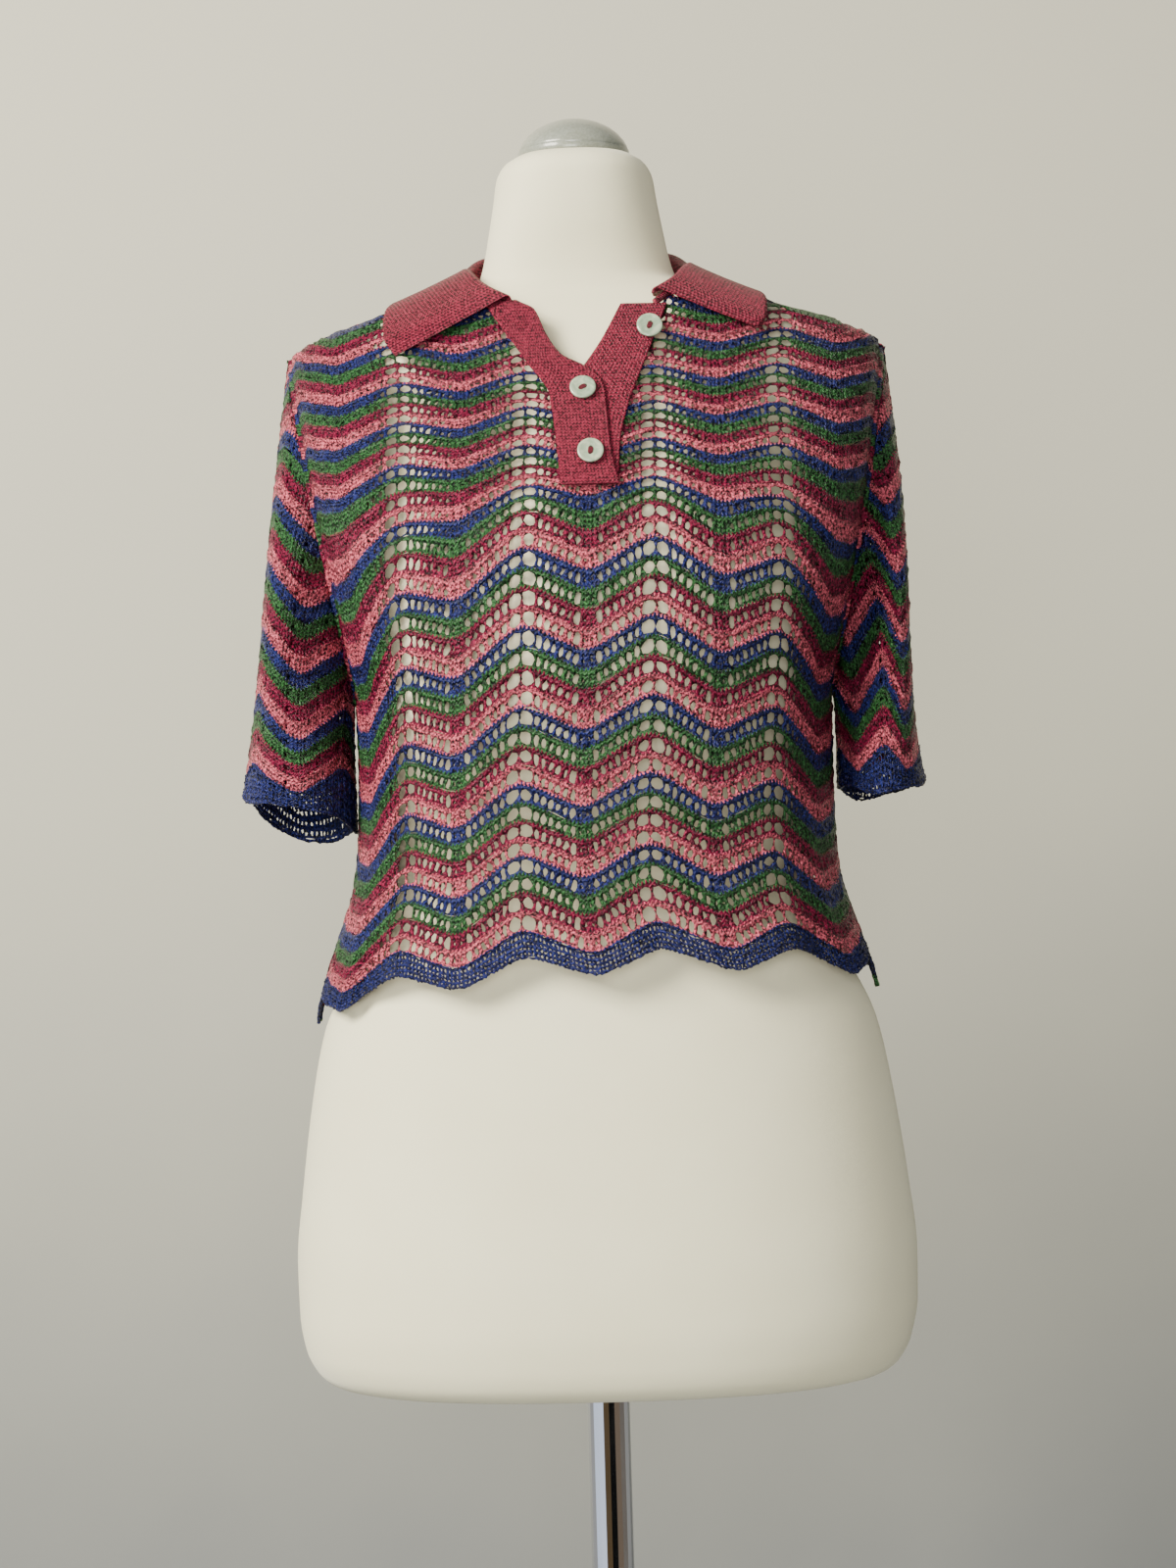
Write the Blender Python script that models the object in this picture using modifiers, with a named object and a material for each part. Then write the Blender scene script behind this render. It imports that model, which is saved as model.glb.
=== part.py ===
"""Open-knit polo shirt worn by a jersey-covered dress form on a chromed pole.

Lengths in the tables are millimetres: x across (+x is the viewer's right), y front (-) to back (+),
z up from the floor. The mesh is in metres. The front panel faces -y.
"""

import math

import bmesh
import bpy
import numpy as np
from mathutils import Vector

MM = 0.001
WALL = 1.8  # knit cloth, mm
SEAM_GAP = 0.3  # between two pieces at a seam
LAP_GAP = 0.8  # between a piece and the panel it lies on
REPEAT = 75.6  # width of one chevron repeat of the lace
EYELET_NEAR, EYELET_FAR = 1.5, 8.6  # sides of an eyelet, measured from the peak's centre line
WAVE = 0.8  # half height of the chevron, in stripes
SECTION_POWER = 2.4  # squareness of the cloth's horizontal sections
SIDE_SEAM = 2.8  # side seam, in repeats from the centre line
SHOULDER_Z = 1428.0  # height of the shoulder points
ARMPIT_Z = 1210.0
RIDGE_DROP = 12.0  # the last stretch below the shoulder seam, where the cloth rounds over
RIDGE_SHARES = (0.0, 0.4, 0.75, 1.0)  # rows on that stretch
ARCH_STEPS = 60  # points that a section's length is measured with
EVEN_REPEATS = 2.0  # wales further out than this are squeezed towards the side edge
CHEVRON_POINT = 0.06  # third harmonic that sharpens the wave's peaks
PEAKS = (-1.5, -0.5, 0.5, 1.5)  # peaks of the wave that have eyelets, in repeats
PLAIN_WALES = (0.0, 1.0, 1.75, 2.0, 2.25, 2.5, SIDE_SEAM)  # the mesh's wales between them, each side

# Inner surface of the worn cloth. At each height: half width, x of the section's middle, x of the
# lace's centre line on the front, repeats from there to the panels' side edges, then y of those
# edges (the side seam, or the armhole's front and back edges) and y at the centre lines.
BODY_COLUMNS = ("z", "half", "middle", "wale", "edge", "edge_front", "front", "edge_back", "back")
BODY = (
    (1000, 178.0, 2.0, 4.0, 2.8, -0.2, -122.0, 0.2, 121.0),
    (1020, 175.0, 1.8, 3.0, 2.8, -0.2, -121.0, 0.2, 120.0),
    (1040, 169.5, 1.8, 1.0, 2.8, -0.2, -119.0, 0.2, 117.0),
    (1070, 159.0, 2.0, -3.0, 2.8, -0.2, -117.0, 0.2, 111.0),
    (1095, 151.5, 2.2, -5.0, 2.8, -0.2, -116.5, 0.2, 105.0),
    (1125, 148.5, 2.8, -5.0, 2.8, -0.2, -118.0, 0.2, 100.0),
    (1170, 147.5, 3.2, -3.5, 2.8, -0.2, -122.0, 0.2, 98.0),
    (1210, 148.0, 3.4, -1.0, 2.8, -0.5, -126.0, 0.5, 98.0),
    (1240, 152.0, 3.6, 0.5, 2.7, -20.0, -129.0, 21.0, 100.0),
    (1275, 158.5, 4.0, 2.0, 2.64, -33.0, -129.0, 34.0, 102.0),
    (1335, 169.0, 4.0, 3.5, 2.62, -42.0, -117.0, 43.0, 103.0),
    (1390, 178.0, 4.0, 5.0, 2.66, -30.0, -93.0, 36.0, 96.0),
    (1415, 182.5, 4.0, 5.0, 2.72, -10.0, -79.0, 21.0, 89.0),
    (1428, 184.0, 4.0, 5.0, 2.75, 7.8, -72.0, 8.2, 85.0),
    (1439, 165.0, 3.5, 5.0, 2.75, 7.8, -68.0, 8.2, 81.0),
    (1447, 140.0, 3.0, 5.0, 2.75, 7.8, -65.0, 8.2, 78.0),
    (1456, 115.0, 2.2, 5.0, 2.75, 7.8, -61.5, 8.2, 74.0),
    (1464, 92.0, 1.0, 5.0, 2.75, 7.8, -59.0, 8.2, 71.0),
    (1473, 70.0, 0.0, 5.0, 2.75, 7.8, -56.0, 8.2, 68.0),
    (1490, 60.0, 0.0, 5.0, 2.75, 7.8, -54.0, 8.2, 64.0),
)

# Soft upright folds of the lower front: where across it, half width in repeats, depth (+ outward).
HEM_FOLD_COLUMNS = ("s", "width", "depth")
HEM_FOLDS = (
    (-1.78, 0.13, -7.0),
    (-1.20, 0.40, 2.5),
    (0.10, 0.35, 3.0),
    (0.50, 0.11, -7.0),
    (1.15, 0.40, 2.5),
    (1.72, 0.13, -8.0),
)
HEM_FOLD_TOP, HEM_FOLD_FOOT = 1105.0, 1015.0

# Height of the middle of each fourth stripe, how far the sides sag below the centre there, and
# the lift of the right side over the left, per repeat.
STRIPE_COLUMNS = ("stripe", "z", "sag", "lift")
STRIPES = (
    (-4, 1009.0, 0.7, 3.2),
    (0, 1055.4, 0.95, 3.5),
    (4, 1103.6, 1.5, 4.9),
    (8, 1146.0, 1.5, 4.9),
    (12, 1191.7, 1.8, 5.5),
    (16, 1238.5, 2.0, 5.3),
    (20, 1285.8, 2.4, 5.2),
    (24, 1328.5, 2.2, 3.8),
    (28, 1352.3, 0.9, 2.3),
    (32, 1376.4, 0.6, 2.1),
    (36, 1398.6, 0.25, 2.1),
    (40, 1422.0, 0.1, 1.5),
    (44, 1445.5, 0.0, 1.5),
    (48, 1469.0, 0.0, 1.5),
    (52, 1492.0, 0.0, 1.5),
)
HEM_STRIPE = -0.86
SAG = 4.0  # mm for each repeat squared
SAG_LIMIT = 5.2  # repeats squared
CORNER_DIP = 11.0  # the hem's extra drop at the side seams
CORNER_START, CORNER_WIDTH = 2.2, 0.6  # where that drop begins and how wide it is, in repeats
CORNER_STRIPES = 10  # stripes over which it fades out upwards
HEM_BAND_ROW = 0.1  # stripe coordinate of the plain hem band's top
EDGE_MARGIN = 3.0  # rows nearer to a cut edge than this are left out
TOP_ROW = 1000  # rows past the last stripe are numbered from here

# The opening between the button bands, cut out of the front panel.
PLACKET_LEFT, PLACKET_RIGHT, PLACKET_FOOT = -11.0, 18.0, 1341.0
NOTCH_COLUMNS = ("x", "z")
NOTCH = (
    (-72.0, 1471.6),
    (-56.0, 1454.4),
    (-36.0, 1424.0),
    (-14.0, 1391.0),
    (-12.0, 1364.0),
    (PLACKET_LEFT, PLACKET_FOOT),
    (PLACKET_RIGHT, PLACKET_FOOT),
    (19.5, 1364.0),
    (26.0, 1385.0),
    (51.0, 1448.0),
    (57.0, 1454.6),
    (72.0, 1471.6),
)
BACK_NECK_Z = 1474.0
NECK_HALF = 70.0  # wales that meet the shoulder line nearer than this end at the neckline
NECK_WALES = (-69.5, -61.0, 61.0, 69.5)  # x of the extra wales beside the neck points
SHOULDER_REPEAT = 81.0  # width of a lace repeat at the shoulders
LACE_MIDDLE = 4.5  # x of the lace's centre line on the chest

# The two bands: left and right edge at each height, as seen from the front.
BAND_COLUMNS = ("z", "left", "right")
TOP_BAND = (
    (1333.5, -13.6, 21.6),
    (1355.0, -15.0, 17.5),
    (1375.0, -17.0, 16.0),
    (1391.0, -19.0, 15.0),
    (1400.0, -24.0, 12.0),
    (1408.0, -30.0, 3.0),
    (1416.0, -35.0, -11.0),
    (1430.0, -44.0, -20.0),
    (1446.0, -54.5, -27.0),
)
UNDER_BAND = (
    (1333.5, -13.0, 21.3),
    (1358.0, -12.0, 23.0),
    (1385.0, -9.0, 29.5),
    (1400.0, -4.0, 35.5),
    (1410.0, 3.5, 39.5),
    (1425.0, 13.5, 45.5),
    (1449.0, 26.5, 55.0),
)

# The collar from its left front end round the back to its right front end: x, height and side of
# the neck seam, then the top of the fold and the outer edge of the fall (x, y, z).
COLLAR_COLUMNS = ("seam", "fold", "edge")
COLLAR = (
    ((-44, 1449.5, "front"), (-41, -69, 1453.5), (-112, -71, 1419)),
    ((-58, 1458.5, "front"), (-56, -56, 1463), (-119, -65, 1430)),
    ((-66.5, 1468, "front"), (-65, -38, 1473.5), (-119, -41, 1450.5)),
    ((-67.4, 1474.8, "front"), (-67.5, -8, 1482), (-112, -3, 1462.5)),
    ((-67.4, 1475.0, "back"), (-68, 21, 1487), (-103, 42, 1462.5)),
    ((-58, 1475.4, "back"), (-59, 46, 1495), (-83, 78, 1453)),
    ((-32, 1475, "back"), (-33, 67, 1502), (-44, 88, 1447)),
    ((0, 1475, "back"), (0, 72, 1504), (0, 91, 1446)),
    ((32, 1475, "back"), (33, 67, 1502), (44, 88, 1447)),
    ((58, 1475.4, "back"), (59, 46, 1495), (83, 78, 1453)),
    ((67.4, 1475.0, "back"), (68.5, 21, 1487), (102, 42, 1463)),
    ((67.4, 1474.8, "front"), (68.5, -8, 1482), (112, -3, 1463)),
    ((67, 1468, "front"), (65, -38, 1473.5), (116, -44, 1452.5)),
    ((60, 1460, "front"), (58, -55, 1464.5), (115, -64, 1438)),
    ((47, 1452, "front"), (46, -68, 1456), (109, -70, 1430)),
)
FOLD_RADIUS = 2.6
COLLAR_ALONG = 28
STAND_SHARE = 0.55  # place of the row half way up the collar's stand
FOLD_TURN, FOLD_STEPS = 0.72, 4  # how far the fold turns over, in half turns
FALL_SHARES = (0.35, 0.7, 1.0)  # rows down the fall
FALL_BOW = 2.2

# One sleeve: the cuff's centre, half sizes and the height of its edge on its four sides.
LEFT_CUFF = dict(x=-184.5, y=4.0, half_x=33.5, half_y=63.0,
                 front=1146, outer=1153, back=1122, inner=1129)
RIGHT_CUFF = dict(x=183.5, y=4.0, half_x=25.0, half_y=67.0,
                  front=1145, outer=1153, back=1140, inner=1149)
CUFF_ROUND = 0.85  # squareness of the cuff's oval
CUFF_WAVE, CUFF_WAVES = 1.6, 5  # the cuff's edge rises and falls with the lace
SLEEVE_AROUND, SLEEVE_ALONG = 28, 11
# Soft creases down a sleeve: where round it (turns from the shoulder over the front), depth, width.
SLEEVE_FOLDS = ((0.14, 3.0, 0.06), (0.30, -5.5, 0.07), (0.62, 4.0, 0.08), (0.82, -5.0, 0.07))
FOLD_STRETCH, FOLD_FADE = 1.1, 1.5  # they end just above the cuff and fade out at both ends
SLEEVE_OUT = 3.1  # the sleeve's inner surface starts this far outside the panels' at the shoulder
SLEEVE_UNDER = 2.0  # and this much more under the arm, where its wall faces the body
# Direction in which the sleeve leaves the armhole and reaches the cuff, in sleeve lengths.
LEAVE_OUT, LEAVE_OUT_FRONT, LEAVE_OUT_UNDER = 0.045, 0.05, -0.025
LEAVE_FORWARD, LEAVE_DOWN, ARRIVE_UP, ARRIVE_IN = -0.10, -0.34, 0.3, 0.06

# Dress form: sections of the torso and neck from the foot up, and x of each section's middle.
FORM_COLUMNS = ("z", "half", "middle", "front", "back")
FORM = (
    (782, 166.0, 1.5, -94.0, 100.0),
    (785, 176.0, 1.5, -102.0, 109.0),
    (792, 184.0, 1.5, -109.0, 117.0),
    (805, 190.5, 1.5, -114.0, 122.5),
    (828, 194.5, 2.0, -118.0, 126.5),
    (860, 195.0, 2.0, -119.0, 127.0),
    (905, 190.5, 2.0, -117.0, 123.5),
    (965, 182.0, 1.8, -112.0, 116.0),
    (1005, 173.5, 1.8, -107.0, 108.0),
    (1055, 150.0, 1.8, -99.0, 96.0),
    (1110, 132.0, 2.0, -93.0, 85.0),
    (1165, 134.0, 2.0, -104.0, 84.0),
    (1215, 142.0, 2.0, -119.0, 90.0),
    (1270, 151.0, 2.0, -124.0, 96.0),
    (1325, 160.0, 2.0, -113.0, 98.0),
    (1375, 167.0, 2.0, -90.0, 93.0),
    (1405, 170.0, 2.4, -74.0, 84.0),
    (1424, 170.0, 2.8, -65.0, 80.0),
    (1434, 166.5, 3.2, -60.0, 77.0),
    (1441, 156.0, 3.2, -56.5, 73.5),
    (1448, 134.0, 2.8, -53.0, 70.0),
    (1456, 106.0, 1.8, -50.0, 64.0),
    (1464, 80.5, 0.8, -47.5, 57.0),
    (1472, 63.0, 0.3, -47.0, 53.0),
    (1485, 58.5, 0.0, -48.5, 49.5),
    (1500, 55.5, 0.0, -52.0, 46.0),
    (1522, 51.5, 0.0, -56.0, 42.0),
    (1535, 49.5, 0.0, -57.0, 38.5),
    (1543, 45.5, 0.0, -54.5, 34.0),
    (1548, 38.0, 0.0, -48.0, 27.0),
)
FORM_AROUND = 32
CAP = dict(z=1548.4, radius=35.0, rim=4.0, height=20.5, y=-10.5)
POLE_RADIUS, POLE_TOP = 13.6, 781.7
BASE_RADIUS, BASE_HEIGHT, BASE_EDGE = 190.0, 12.0, 3.0
SOCKET_RADIUS, SOCKET_HEIGHT, SOCKET_EDGE = 21.0, 34.0, 2.0
AXIS_Y = 4.0  # the pole stands under the form's middle

BAND_LIFT = {"under": WALL + LAP_GAP, "top": 2 * (WALL + LAP_GAP)}  # off the cloth's inner surface
BAND_TOP = 1470.0  # above this the bands keep the surface's lean

BUTTON_RADIUS, BUTTON_THICK, BUTTON_BEVEL = 8.3, 2.2, 0.5
BUTTON_REACH = 5.0  # the cloth's slope under a button is taken over this distance each way
HOLE_RADIUS, HOLE_SPACING = 1.2, 3.6
# Each button's place, the band under it, and its height over that band's smooth surface, which the
# band's facets cross.
BUTTONS = dict(button_top=(43.0, 1431.0, "under", 0.55), button_middle=(1.5, 1390.0, "top", -0.1),
               button_bottom=(5.0, 1350.5, "top", 0.05))

COLOURS = dict(  # base colour, roughness, metallic
    knit=((0.42, 0.08, 0.12), 0.6, 0.0),
    rose=((0.55, 0.11, 0.15), 0.6, 0.0),
    shell=((0.78, 0.78, 0.66), 0.25, 0.0),
    jersey=((0.80, 0.76, 0.64), 0.85, 0.0),
    cap=((0.55, 0.57, 0.54), 0.4, 0.0),
    chrome=((0.8, 0.8, 0.82), 0.08, 1.0),
)


def column(table, names, name):
    """One named column of a table, as an array."""
    return np.array([row[names.index(name)] for row in table], float)


def smooth(at, known, values):
    """Values between a table's rows, on a curve that never overshoots them."""
    at = min(max(at, known[0]), known[-1])
    i = int(min(max(np.searchsorted(known, at) - 1, 0), len(known) - 2))
    steps = np.diff(known)
    slopes = np.diff(values) / steps

    def tangent(k):
        if k == 0 or k == len(slopes):
            return slopes[min(k, len(slopes) - 1)]
        before, after = slopes[k - 1], slopes[k]
        return 0.0 if before * after <= 0 else 2 * before * after / (before + after)

    t = (at - known[i]) / steps[i]
    rise = values[i + 1] - values[i]
    start, end = tangent(i) * steps[i], tangent(i + 1) * steps[i]
    bend = 3 * rise - 2 * start - end
    return values[i] + t * start + t * t * bend + t ** 3 * (start + end - 2 * rise)


def reader(table, names):
    """A function that gives any named column of the table at any value of its first column."""
    known = column(table, names, names[0])
    columns = {name: column(table, names, name) for name in names[1:]}
    return lambda at, name: smooth(at, known, columns[name])


body = reader(BODY, BODY_COLUMNS)
stripes = reader(STRIPES, STRIPE_COLUMNS)


def arch(share):
    """Unit quarter section, from the centre line (0) to the side edge (1): across, and out."""
    turn = share * math.pi / 2
    power = 2 / SECTION_POWER
    return math.sin(turn) ** power if share > 0 else 0.0, max(math.cos(turn), 0.0) ** power


def section_point(z, share, side):
    """Point of a section at that share of the cloth's length from the centre line to the edge.

    x is measured from the section's middle.
    """
    edge, centre = body(z, "edge_" + side), body(z, side)
    half = body(z, "half")
    unit = [arch(i / ARCH_STEPS) for i in range(ARCH_STEPS + 1)]
    points = [(half * across, edge + (centre - edge) * out) for across, out in unit]
    lengths = np.concatenate([[0], np.cumsum([math.dist(p, q) for p, q in zip(points, points[1:])])])
    at = share * lengths[-1]
    return (float(np.interp(at, lengths, [p[0] for p in points])),
            float(np.interp(at, lengths, [p[1] for p in points])))


def surface_y(x, z, side):
    """y of the cloth's inner surface where it crosses that x and z."""
    edge, centre = body(z, "edge_" + side), body(z, side)
    share = min(abs(x - body(z, "middle")) / body(z, "half"), 1.0)
    return edge + (centre - edge) * (1 - share ** SECTION_POWER) ** (1 / SECTION_POWER)


def ridge_z(x):
    """Height of the shoulder seam at x."""
    low, high = SHOULDER_Z, BODY[-1][0]
    for _ in range(30):
        z = (low + high) / 2
        if body(z, "half") > abs(x - body(z, "middle")):
            low = z
        else:
            high = z
    return low


def chevron(s):
    """Height of the wave at s repeats from the centre: 1 on a peak, -1 in a valley."""
    turn = 2 * math.pi * (s - 0.5)
    return (math.cos(turn) + CHEVRON_POINT * math.cos(3 * turn)) / (1 + CHEVRON_POINT)


def stripe_height(s, stripe):
    """Height of a stripe's middle at s repeats from the centre line."""
    crest = stripe + WAVE * chevron(s)
    corner = min(max((abs(s) - CORNER_START) / CORNER_WIDTH, 0.0), 1.0)
    dip = CORNER_DIP * corner ** 2 * min(max(1 - stripe / CORNER_STRIPES, 0.0), 1.0)
    sag = SAG * min(s * s, SAG_LIMIT) * stripes(stripe, "sag")
    return stripes(crest, "z") + s * stripes(stripe, "lift") - sag - dip


def hem_fold(s, z):
    """How far the folds above the front hem push the cloth out."""
    fade = min(max((HEM_FOLD_TOP - z) / (HEM_FOLD_TOP - HEM_FOLD_FOOT), 0.0), 1.0)
    push = sum(depth * math.exp(-((s - place) / width) ** 2) for place, width, depth in HEM_FOLDS)
    return push * fade * fade * (3 - 2 * fade)


class Column:
    """One wale of a panel: a line up the cloth, s repeats from the lace's centre line."""

    def __init__(self, s, side):
        self.s, self.side = s, side
        self.top_x = self.across(SHOULDER_Z)[0]
        self.ridge = ridge_z(self.top_x)

    def across(self, z):
        """x and y of the wale at height z, up to the shoulder point."""
        edge = body(z, "edge")
        turn = (body(z, "wale") - body(z, "middle")) / REPEAT if self.side == "front" else 0.0
        place = self.s + turn * (1 - (self.s / SIDE_SEAM) ** 2)
        beyond = abs(place) - EVEN_REPEATS
        if beyond > 0:
            squeeze = (edge - EVEN_REPEATS) / (SIDE_SEAM - EVEN_REPEATS)
            place = math.copysign(EVEN_REPEATS + beyond * squeeze, place)
        x, y = section_point(z, min(abs(place) / edge, 1.0), self.side)
        if self.side == "front":
            y -= hem_fold(self.s, z)
        return body(z, "middle") + math.copysign(x, place), y

    def point(self, z):
        """The inner surface at height z on this wale."""
        if z <= SHOULDER_Z:
            return (*self.across(z), z)
        return self.top_x, surface_y(self.top_x, z, self.side), z

    def over_ridge(self, share):
        """The last stretch up to the shoulder seam, rounding over."""
        start = self.ridge - RIDGE_DROP
        return self.point(start + RIDGE_DROP * math.sin(share * math.pi / 2))


def notch_z(x):
    """Top of the front panel at x, where the neckline and the button opening cut it."""
    return float(np.interp(x, column(NOTCH, NOTCH_COLUMNS, "x"), column(NOTCH, NOTCH_COLUMNS, "z")))


# Stripes whose eyelets are cut through, and an eyelet's half height in stripes: the stripes are
# narrower on the chest.
EYELETS = {**dict.fromkeys(range(1, 26, 2), 0.32), **dict.fromkeys(range(28, 43, 3), 0.46)}
SHOULDER_STRIPES = (42.5, 45.5)  # rows above the last eyelets
EYELET_FEET = {middle - half for middle, half in EYELETS.items()}


def panel_columns(side):
    """The wales of the mesh, place to whether it is dense, and those left of an eyelet."""
    near, far = EYELET_NEAR / REPEAT, EYELET_FAR / REPEAT
    places, eyelets = {}, set()
    for s in PLAIN_WALES:
        places[s] = places[-s] = False
    for peak in PEAKS:
        for s in (peak - far, peak - near, peak + near, peak + far):
            places[s] = True
        eyelets |= {peak - far, peak + near}
    for x in NECK_WALES:
        places[(x - LACE_MIDDLE) / SHOULDER_REPEAT] = False
    if side == "front":
        for x in (PLACKET_LEFT, PLACKET_RIGHT):
            places[(x - LACE_MIDDLE) / REPEAT] = False
    return dict(sorted(places.items())), eyelets


def panel_rows(dense):
    """Stripe coordinates of the mesh's rows; an eyelet takes two of them on a dense wale."""
    rows = [HEM_STRIPE, HEM_BAND_ROW]
    for middle, half in EYELETS.items():
        rows += [middle - half, middle + half] if dense else [middle - half]
    return rows + [*SHOULDER_STRIPES]


def wale_points(wale, rows):
    """(row, point) up a wale from the hem to the panel's cut edge."""
    top = wale.ridge - RIDGE_DROP
    cut_by_neck = abs(wale.top_x) < NECK_HALF
    if cut_by_neck:
        top = notch_z(wale.top_x) if wale.side == "front" else BACK_NECK_Z
    heights = {row: stripe_height(wale.s, row) for row in rows}
    points = [(row, wale.point(z)) for row, z in heights.items() if z < top - EDGE_MARGIN]
    if cut_by_neck:
        edge = [wale.point(top)]
    else:
        edge = [wale.over_ridge(share) for share in RIDGE_SHARES]
    return points + [(TOP_ROW + i, point) for i, point in enumerate(edge)]


def new_object(name, mesh, finish, smooth_angle=40):
    obj = bpy.data.objects.new(name, mesh)
    parts.objects.link(obj)
    mesh.materials.append(material(name, finish))
    mesh.shade_smooth()
    mesh.set_sharp_from_angle(angle=math.radians(smooth_angle))
    return obj


def material(name, finish):
    made = bpy.data.materials.new(name)
    made.use_nodes = True
    shader = made.node_tree.nodes["Principled BSDF"]
    colour, roughness, metallic = COLOURS[finish]
    shader.inputs["Base Color"].default_value = (*colour, 1)
    shader.inputs["Roughness"].default_value = roughness
    shader.inputs["Metallic"].default_value = metallic
    return made


def mesh_of(bm, name):
    mesh = bpy.data.meshes.new(name)
    bm.to_mesh(mesh)
    bm.free()
    return mesh


def thicken(obj, wall=WALL):
    """Gives an open surface its wall, on the outer side."""
    shell = obj.modifiers.new("wall", "SOLIDIFY")
    shell.thickness = wall * MM
    shell.offset = 1
    shell.use_rim = True


def join_wales(bm, left, right, eyelets):
    """Faces between two wales: quads where both have a row, else triangles, none in an eyelet."""
    i = j = 0
    while i < len(left) - 1 or j < len(right) - 1:
        row_left = left[i + 1][0] if i < len(left) - 1 else math.inf
        row_right = right[j + 1][0] if j < len(right) - 1 else math.inf
        if row_left == row_right:
            is_eyelet = eyelets and left[i][0] == right[j][0] and left[i][0] in EYELET_FEET
            if not (is_eyelet and left[i + 2][0] < TOP_ROW and right[j + 2][0] < TOP_ROW):
                bm.faces.new((left[i][1], right[j][1], right[j + 1][1], left[i + 1][1]))
            i += 1
            j += 1
        elif row_left < row_right:
            bm.faces.new((left[i][1], right[j][1], left[i + 1][1]))
            i += 1
        else:
            bm.faces.new((left[i][1], right[j][1], right[j + 1][1]))
            j += 1


def panel(name, side):
    """Front or back panel, with its largest eyelets cut through."""
    places, eyelets = panel_columns(side)
    bm = bmesh.new()
    wales = []
    for s, dense in places.items():
        points = wale_points(Column(s, side), panel_rows(dense))
        wales.append([(row, bm.verts.new(Vector(point) * MM)) for row, point in points])
    for s, left, right in zip(places, wales, wales[1:]):
        join_wales(bm, left, right, s in eyelets)
    if side == "back":
        bmesh.ops.reverse_faces(bm, faces=bm.faces)
    obj = new_object(name, mesh_of(bm, name), "knit")
    thicken(obj)
    return obj


def loft(name, rings, finish, closed_ends=False, flip=False):
    """Skin through closed rings with equal numbers of points."""
    bm = bmesh.new()
    loops = [[bm.verts.new(Vector(p) * MM) for p in ring] for ring in rings]
    for low, high in zip(loops, loops[1:]):
        for i in range(len(low)):
            j = (i + 1) % len(low)
            bm.faces.new((low[i], low[j], high[j], high[i]))
    if closed_ends:
        bm.faces.new(loops[0][::-1])
        bm.faces.new(loops[-1])
    if flip:
        bmesh.ops.reverse_faces(bm, faces=bm.faces)
    return new_object(name, mesh_of(bm, name), finish)


def armhole(turn, sign):
    """Point of the armhole edge, from the shoulder (0) down the front to the armpit (0.5) and back."""
    front = turn <= 0.5
    share = turn * 2 if front else 2 - turn * 2
    z = SHOULDER_Z - (SHOULDER_Z - ARMPIT_Z) * 0.5 * (1 - math.cos(math.pi * share))
    edge = body(z, "edge_front" if front else "edge_back")
    return Vector((body(z, "middle") + sign * body(z, "half"), edge, z))


def cuff_point(turn, sign, cuff):
    """Point of the cuff's edge at the same turn round the sleeve."""
    angle = 2 * math.pi * turn
    out, forward = math.cos(angle), math.sin(angle)
    x = cuff["x"] + sign * cuff["half_x"] * math.copysign(abs(out) ** CUFF_ROUND, out)
    y = cuff["y"] - cuff["half_y"] * math.copysign(abs(forward) ** CUFF_ROUND, forward)
    share_out, share_in = max(out, 0) ** 2, max(-out, 0) ** 2
    share_front, share_back = max(forward, 0) ** 2, max(-forward, 0) ** 2
    z = (share_out * cuff["outer"] + share_in * cuff["inner"]
         + share_front * cuff["front"] + share_back * cuff["back"])
    return Vector((x, y, z + CUFF_WAVE * math.cos(2 * math.pi * CUFF_WAVES * turn)))


def sleeve_fold(turn, along):
    """How far a crease pushes the sleeve out at that place."""
    push = sum(depth * math.exp(-(((turn - place + 0.5) % 1 - 0.5) / width) ** 2)
               for place, depth, width in SLEEVE_FOLDS)
    return push * math.sin(math.pi * min(along * FOLD_STRETCH, 1)) ** FOLD_FADE


def sleeve_point(turn, t, sign, cuff):
    """Point of the sleeve's inner surface: turn runs round it, t from the armhole to the cuff."""
    start, end = armhole(turn, sign), cuff_point(turn, sign, cuff)
    start.x += sign * (SLEEVE_OUT + SLEEVE_UNDER * math.sin(math.pi * turn) ** 2)
    length = (start - end).length
    under = max(-math.cos(2 * math.pi * turn), 0)
    forward = math.sin(2 * math.pi * turn)
    out = LEAVE_OUT + LEAVE_OUT_FRONT * forward ** 2 + LEAVE_OUT_UNDER * under
    a = start + Vector((sign * out, LEAVE_FORWARD * forward, LEAVE_DOWN)) * length
    outer = max(math.cos(2 * math.pi * turn), 0)
    b = end + Vector((-sign * ARRIVE_IN * outer, 0, ARRIVE_UP)) * length
    u = 1 - t
    point = start * u ** 3 + a * 3 * u * u * t + b * 3 * u * t * t + end * t ** 3
    outward = Vector((point.x - cuff["x"], point.y - cuff["y"], 0)).normalized()
    return point + outward * sleeve_fold(turn, t) * (1 - under)


def sleeve(name, sign, cuff):
    """A hanging, empty sleeve from the armhole to the cuff."""
    rings = [[sleeve_point(k / SLEEVE_AROUND, step / SLEEVE_ALONG, sign, cuff)
              for k in range(SLEEVE_AROUND)] for step in range(SLEEVE_ALONG + 1)]
    obj = loft(name, rings, "knit", flip=sign > 0)
    thicken(obj)
    return obj


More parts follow.
